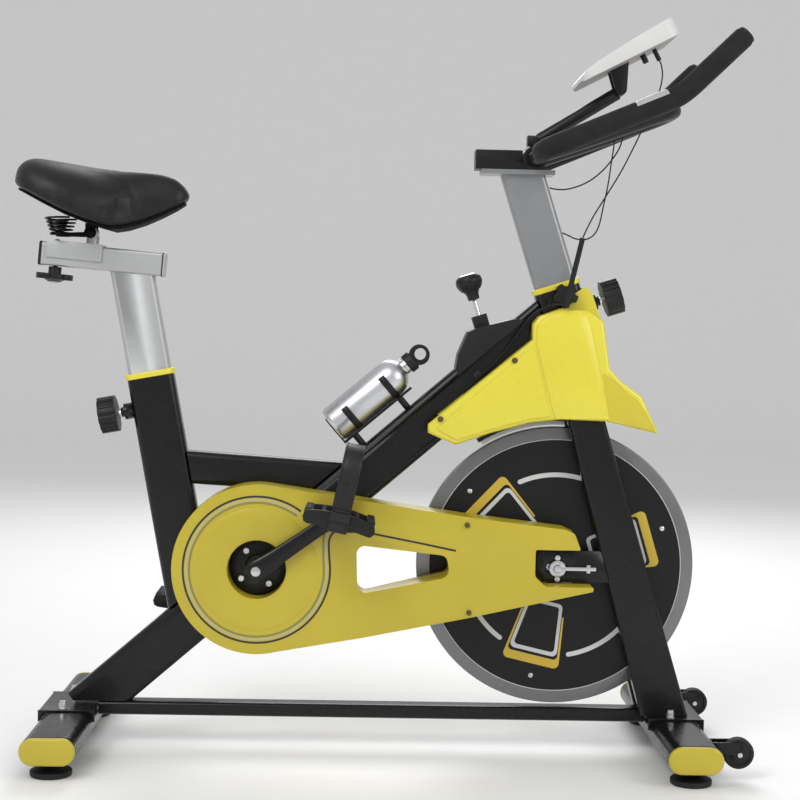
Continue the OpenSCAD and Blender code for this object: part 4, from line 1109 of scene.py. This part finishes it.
HORN = [(257, -130, 1027), (258, -152, 1027.4), (263, -170, 1029.5), (272, -182, 1033), (284, -189, 1037.6),
        (298, -190, 1043), (318, -190, 1051.5), (372, -190, 1074.4), (432, -190, 1099.8),
        (455, -190, 1109.6), (468, -190, 1116), (480, -190, 1124.5), (492, -190, 1135), (508, -190, 1150.6),
        (540, -190, 1181.8), (575, -190, 1216)]
LOOP = [(257, -62, 1028), (300, -62, 1043), (345, -62, 1059), (400, -61, 1079), (440, -57, 1094),
        (470, -46, 1105), (488, -28, 1112), (494, -10, 1115)]


def mirrored(points):
    return [(x, -y, z) for x, y, z in reversed(points)]


def half_shell(line, inner, outer, half_angle, material, n=16):
    """A curved plate that hugs the top of a bar along line."""
    turns = [math.radians(half_angle * (2 * k / n - 1)) for k in range(n + 1)]
    rings = []
    for i, point in enumerate(line):
        along = direction(line, i)
        side = along.cross(Vector((0, 1, 0))).normalized()
        if side.z < 0:
            side = -side
        across = along.cross(side)
        around_bar = [(outer, a) for a in turns] + [(inner, a) for a in reversed(turns)]
        rings.append([point + r / 1000 * (math.cos(a) * side + math.sin(a) * across)
                      for r, a in around_bar])
    return skin("plate", rings, material, 40)


def grip_radius(t):
    """The foam draws in over the last stretch at each end."""
    near = max(0, 0.012 - t) + max(0, t - 0.988)
    return 17.5 - 2.2 * (near / 0.012) ** 2


def make_handlebar():
    bar = tube("bar", smooth_mm(mirrored(HORN) + HORN), 12.5, BLACK, 32)
    loop = tube("loop", smooth_mm(LOOP + mirrored(LOOP)), 14, SATIN_BLACK, 32)
    set_parts(joined("bar_and_loop", [bar, loop]), "handlebar_post", ["handlebar"])
    grips, plugs, plates = [], [], []
    for side in (1, -1):
        horn = smooth_mm([(x, y * side, z) for x, y, z in HORN])
        grips.append(tube("grip", horn, grip_radius, FOAM, 40))
        out = (horn[-1] - horn[-4]).normalized()
        place = Matrix.Translation(horn[-1]) @ out.to_track_quat("Z", "Y").to_matrix().to_4x4()
        plugs.append(lathe("plug", [(0, -4), (15, -4), (15.8, -1), (15.8, 1.8), (14, 3.4), (8, 4.4),
                                    (0, 4.7)], place, PLASTIC, 48))
        top = smooth_mm([(404, -190 * side, 1088), (430, -190 * side, 1099), (455, -190 * side, 1109.6)])
        plates.append(half_shell(top, 17.2, 18.2, 62, CHROME))
    cover = joined("foam_grips", grips)
    set_parts(cover, "handlebar_post", ["bar_grips"])
    set_parts(joined("bar_end_plugs", plugs), "handlebar_post")
    set_parts(joined("pulse_plates", plates), "handlebar_post")


def make_bar_post():
    refined("bar_post", "handlebar_post", SILVER, 0)
    refined("bar_stem", "handlebar_post", SATIN_BLACK, 1.8, 3)
    refined("console_arm", "handlebar_post", SATIN_BLACK, 1, 2)
    head = [(3.2, -3), (3.2, 1.2), (2.8, 1.8), (1.6, 1.8), (1.6, 0.6), (0, 0.6)]
    bolts = [lathe("bolt", head, shift(x, y, 1046.2), ZINC, 20) for y in (-17, 17) for x in (246, 268)]
    set_parts(joined("stem_bolts", bolts), "handlebar_post")


# ---- Console ----

CONSOLE = Matrix.Translation(mm(330, 0, 1153)) @ Matrix.Rotation(math.radians(-27.5), 4, "Y")


def make_console():
    case = refined("console_case", "console", CASE, 2.8, 3, 30)
    case.data.materials.append(PLASTIC)
    case.data.materials.append(CASE_DARK)
    local = CONSOLE.inverted()
    for face in case.data.polygons:
        height = (local @ face.center).z
        face.material_index = 1 if height < -0.0002 else 2 if height < 0.0035 else 0
    plate = prism("console_underside", round_outline(160, 126, 16), CONSOLE @ shift(96, 0, -0.6), 0.8,
                  CASE_DARK, (), 0.3, 2)
    set_parts(plate, "console")
    upper = CONSOLE @ shift(148.5, 0, 29.9) @ Matrix.Rotation(math.radians(-3.96), 4, "Y")
    lower = CONSOLE @ shift(78, 0, 24) @ Matrix.Rotation(math.radians(-5.64), 4, "Y")
    bezel = prism("bezel", round_outline(54, 96, 7), upper, 1.2, CASE_DARK, [round_outline(42, 80, 4)], 0.4,
                  2)
    glass = prism("glass", round_outline(41.8, 79.8, 4), upper, 0.6, SCREEN)
    keys = []
    for y in (-36, -12, 12, 36):
        keys.append(prism("key", round_outline(16, 14, 5), lower @ shift(0, y, 0), 1.8, CASE_DARK, (), 0.7,
                          3))
    keys.append(prism("key", round_outline(10, 60, 5), lower @ shift(-24, 0, 0), 1.2, YELLOW, (), 0.5, 3))
    set_parts(joined("console_panel", [bezel, glass, *keys]), "console")


# ---- Bottle ----

BOTTLE = leaning(mm(-80, 0, 561), 49.3)


def make_bottle():
    body = lathe("bottle_body", [(0, 1.8), (20, 1), (27.2, 0), (30, 1.2), (31.9, 4), (32.5, 7.5),
                                 (32.5, 120), (32.4, 128), (31.8, 134), (30.2, 140.5), (27.5, 146.2),
                                 (23, 151), (18.5, 154.5), (16, 156.5), (15.1, 158), (15, 160),
                                 (15.6, 160.8), (15.6, 161.6), (15, 162.4), (15, 166), (0, 166)], BOTTLE,
                 ALUMINIUM, 128)
    set_parts(body, "drink_bottle", ["bottle"])
    refined("bottle_cap", "drink_cap", PLASTIC, 1.4, 3)
    ribs = []
    for i in range(28):
        at = BOTTLE @ Matrix.Rotation(math.tau * i / 28, 4, "Z")
        ribs.append(tube("rib", [at @ mm(16.9, 0, 168), at @ mm(16.9, 0, 178.5)], 0.6, PLASTIC, 6))
    set_parts(joined("cap_ribs", ribs), "drink_cap")


# ---- Base ----

def make_base():
    refined("stabiliser_caps", "frame", YELLOW, 4.5, 4)
    foot = [(0, 0), (31, 0), (33.5, 1.2), (34, 3), (33.6, 4.2), (34, 5.4), (34, 7.8), (33, 9.2), (30, 10),
            (22, 13.2), (14.5, 16.6), (11.5, 17), (11, 18), (7, 18.4), (7, 25), (0, 25)]
    feet = [lathe("foot", foot, shift(x, y, 0), RUBBER, 72) for x in (-522, 518) for y in (-205, 205)]
    set_parts(joined("rubber_feet", feet), "frame", ["levelling_feet"])
    # half of the wheel's section, from its bore to the middle of its tread
    half = [(4.05, -10), (10, -10), (10.4, -8.5), (18.5, -8), (19.5, -9.8), (22.5, -10), (24.3, -9.2),
            (25.3, -7), (25.5, -3), (25, -2.6), (25, -1.8), (25.5, -1.4)]
    section = half + [(radius, -z) for radius, z in reversed(half)] + half[:1]
    for side, word in SIDES:
        wheel = lathe("wheel", section, facing(-1, mm(599.5, side * 182, 46)), RUBBER, 72)
        set_parts(wheel, f"wheel_{word}", [f"{word}_wheel"])


make_handlebar()
make_bar_post()
make_console()
make_bottle()
make_base()


# ---- Setting ----

def make_setting():
    profile = [(-30, 0), (7, 0)]
    profile += [(7 + 4 * math.sin(math.radians(a)), 4 - 4 * math.cos(math.radians(a)))
                for a in range(6, 91, 6)]
    profile.append((11, 30))
    verts = [(x, y, z) for y, z in profile for x in (-40, 40)]
    faces = [(2 * i, 2 * i + 1, 2 * i + 3, 2 * i + 2) for i in range(len(profile) - 1)]
    floor = mesh_from("floor", verts, faces)
    new_object("floor", floor, surface("floor_paint", (0.9, 0.9, 0.9), 0.6, mottle=0.01,
                                                grain=300.0, wear=0.0))
    world = bpy.data.worlds.new("studio")
    scene.world = world
    world.use_nodes = True
    world.node_tree.nodes["Background"].inputs["Color"].default_value = (1, 1, 1, 1)
    world.node_tree.nodes["Background"].inputs["Strength"].default_value = 0.6
    for name, where, aim, size, power in (("key", (-1.6, -2.6, 3.0), (0, 0, 0.6), 1.8, 60),
                                          ("fill", (2.6, -2.2, 1.8), (0.2, 0, 0.6), 1.5, 30),
                                          ("back", (0.4, 2.8, 2.6), (0, 0, 0.7), 2.0, 60)):
        light = bpy.data.lights.new(name, "AREA")
        light.shape = "RECTANGLE"
        light.size = size
        light.size_y = size
        light.energy = power
        lamp = bpy.data.objects.new(name, light)
        scene.collection.objects.link(lamp)
        lamp.location = where
        lamp.rotation_euler = (Vector(aim) - Vector(where)).to_track_quat("-Z", "Y").to_euler()


scene.view_settings.view_transform = "Standard"
make_setting()
bpy.context.view_layer.update()
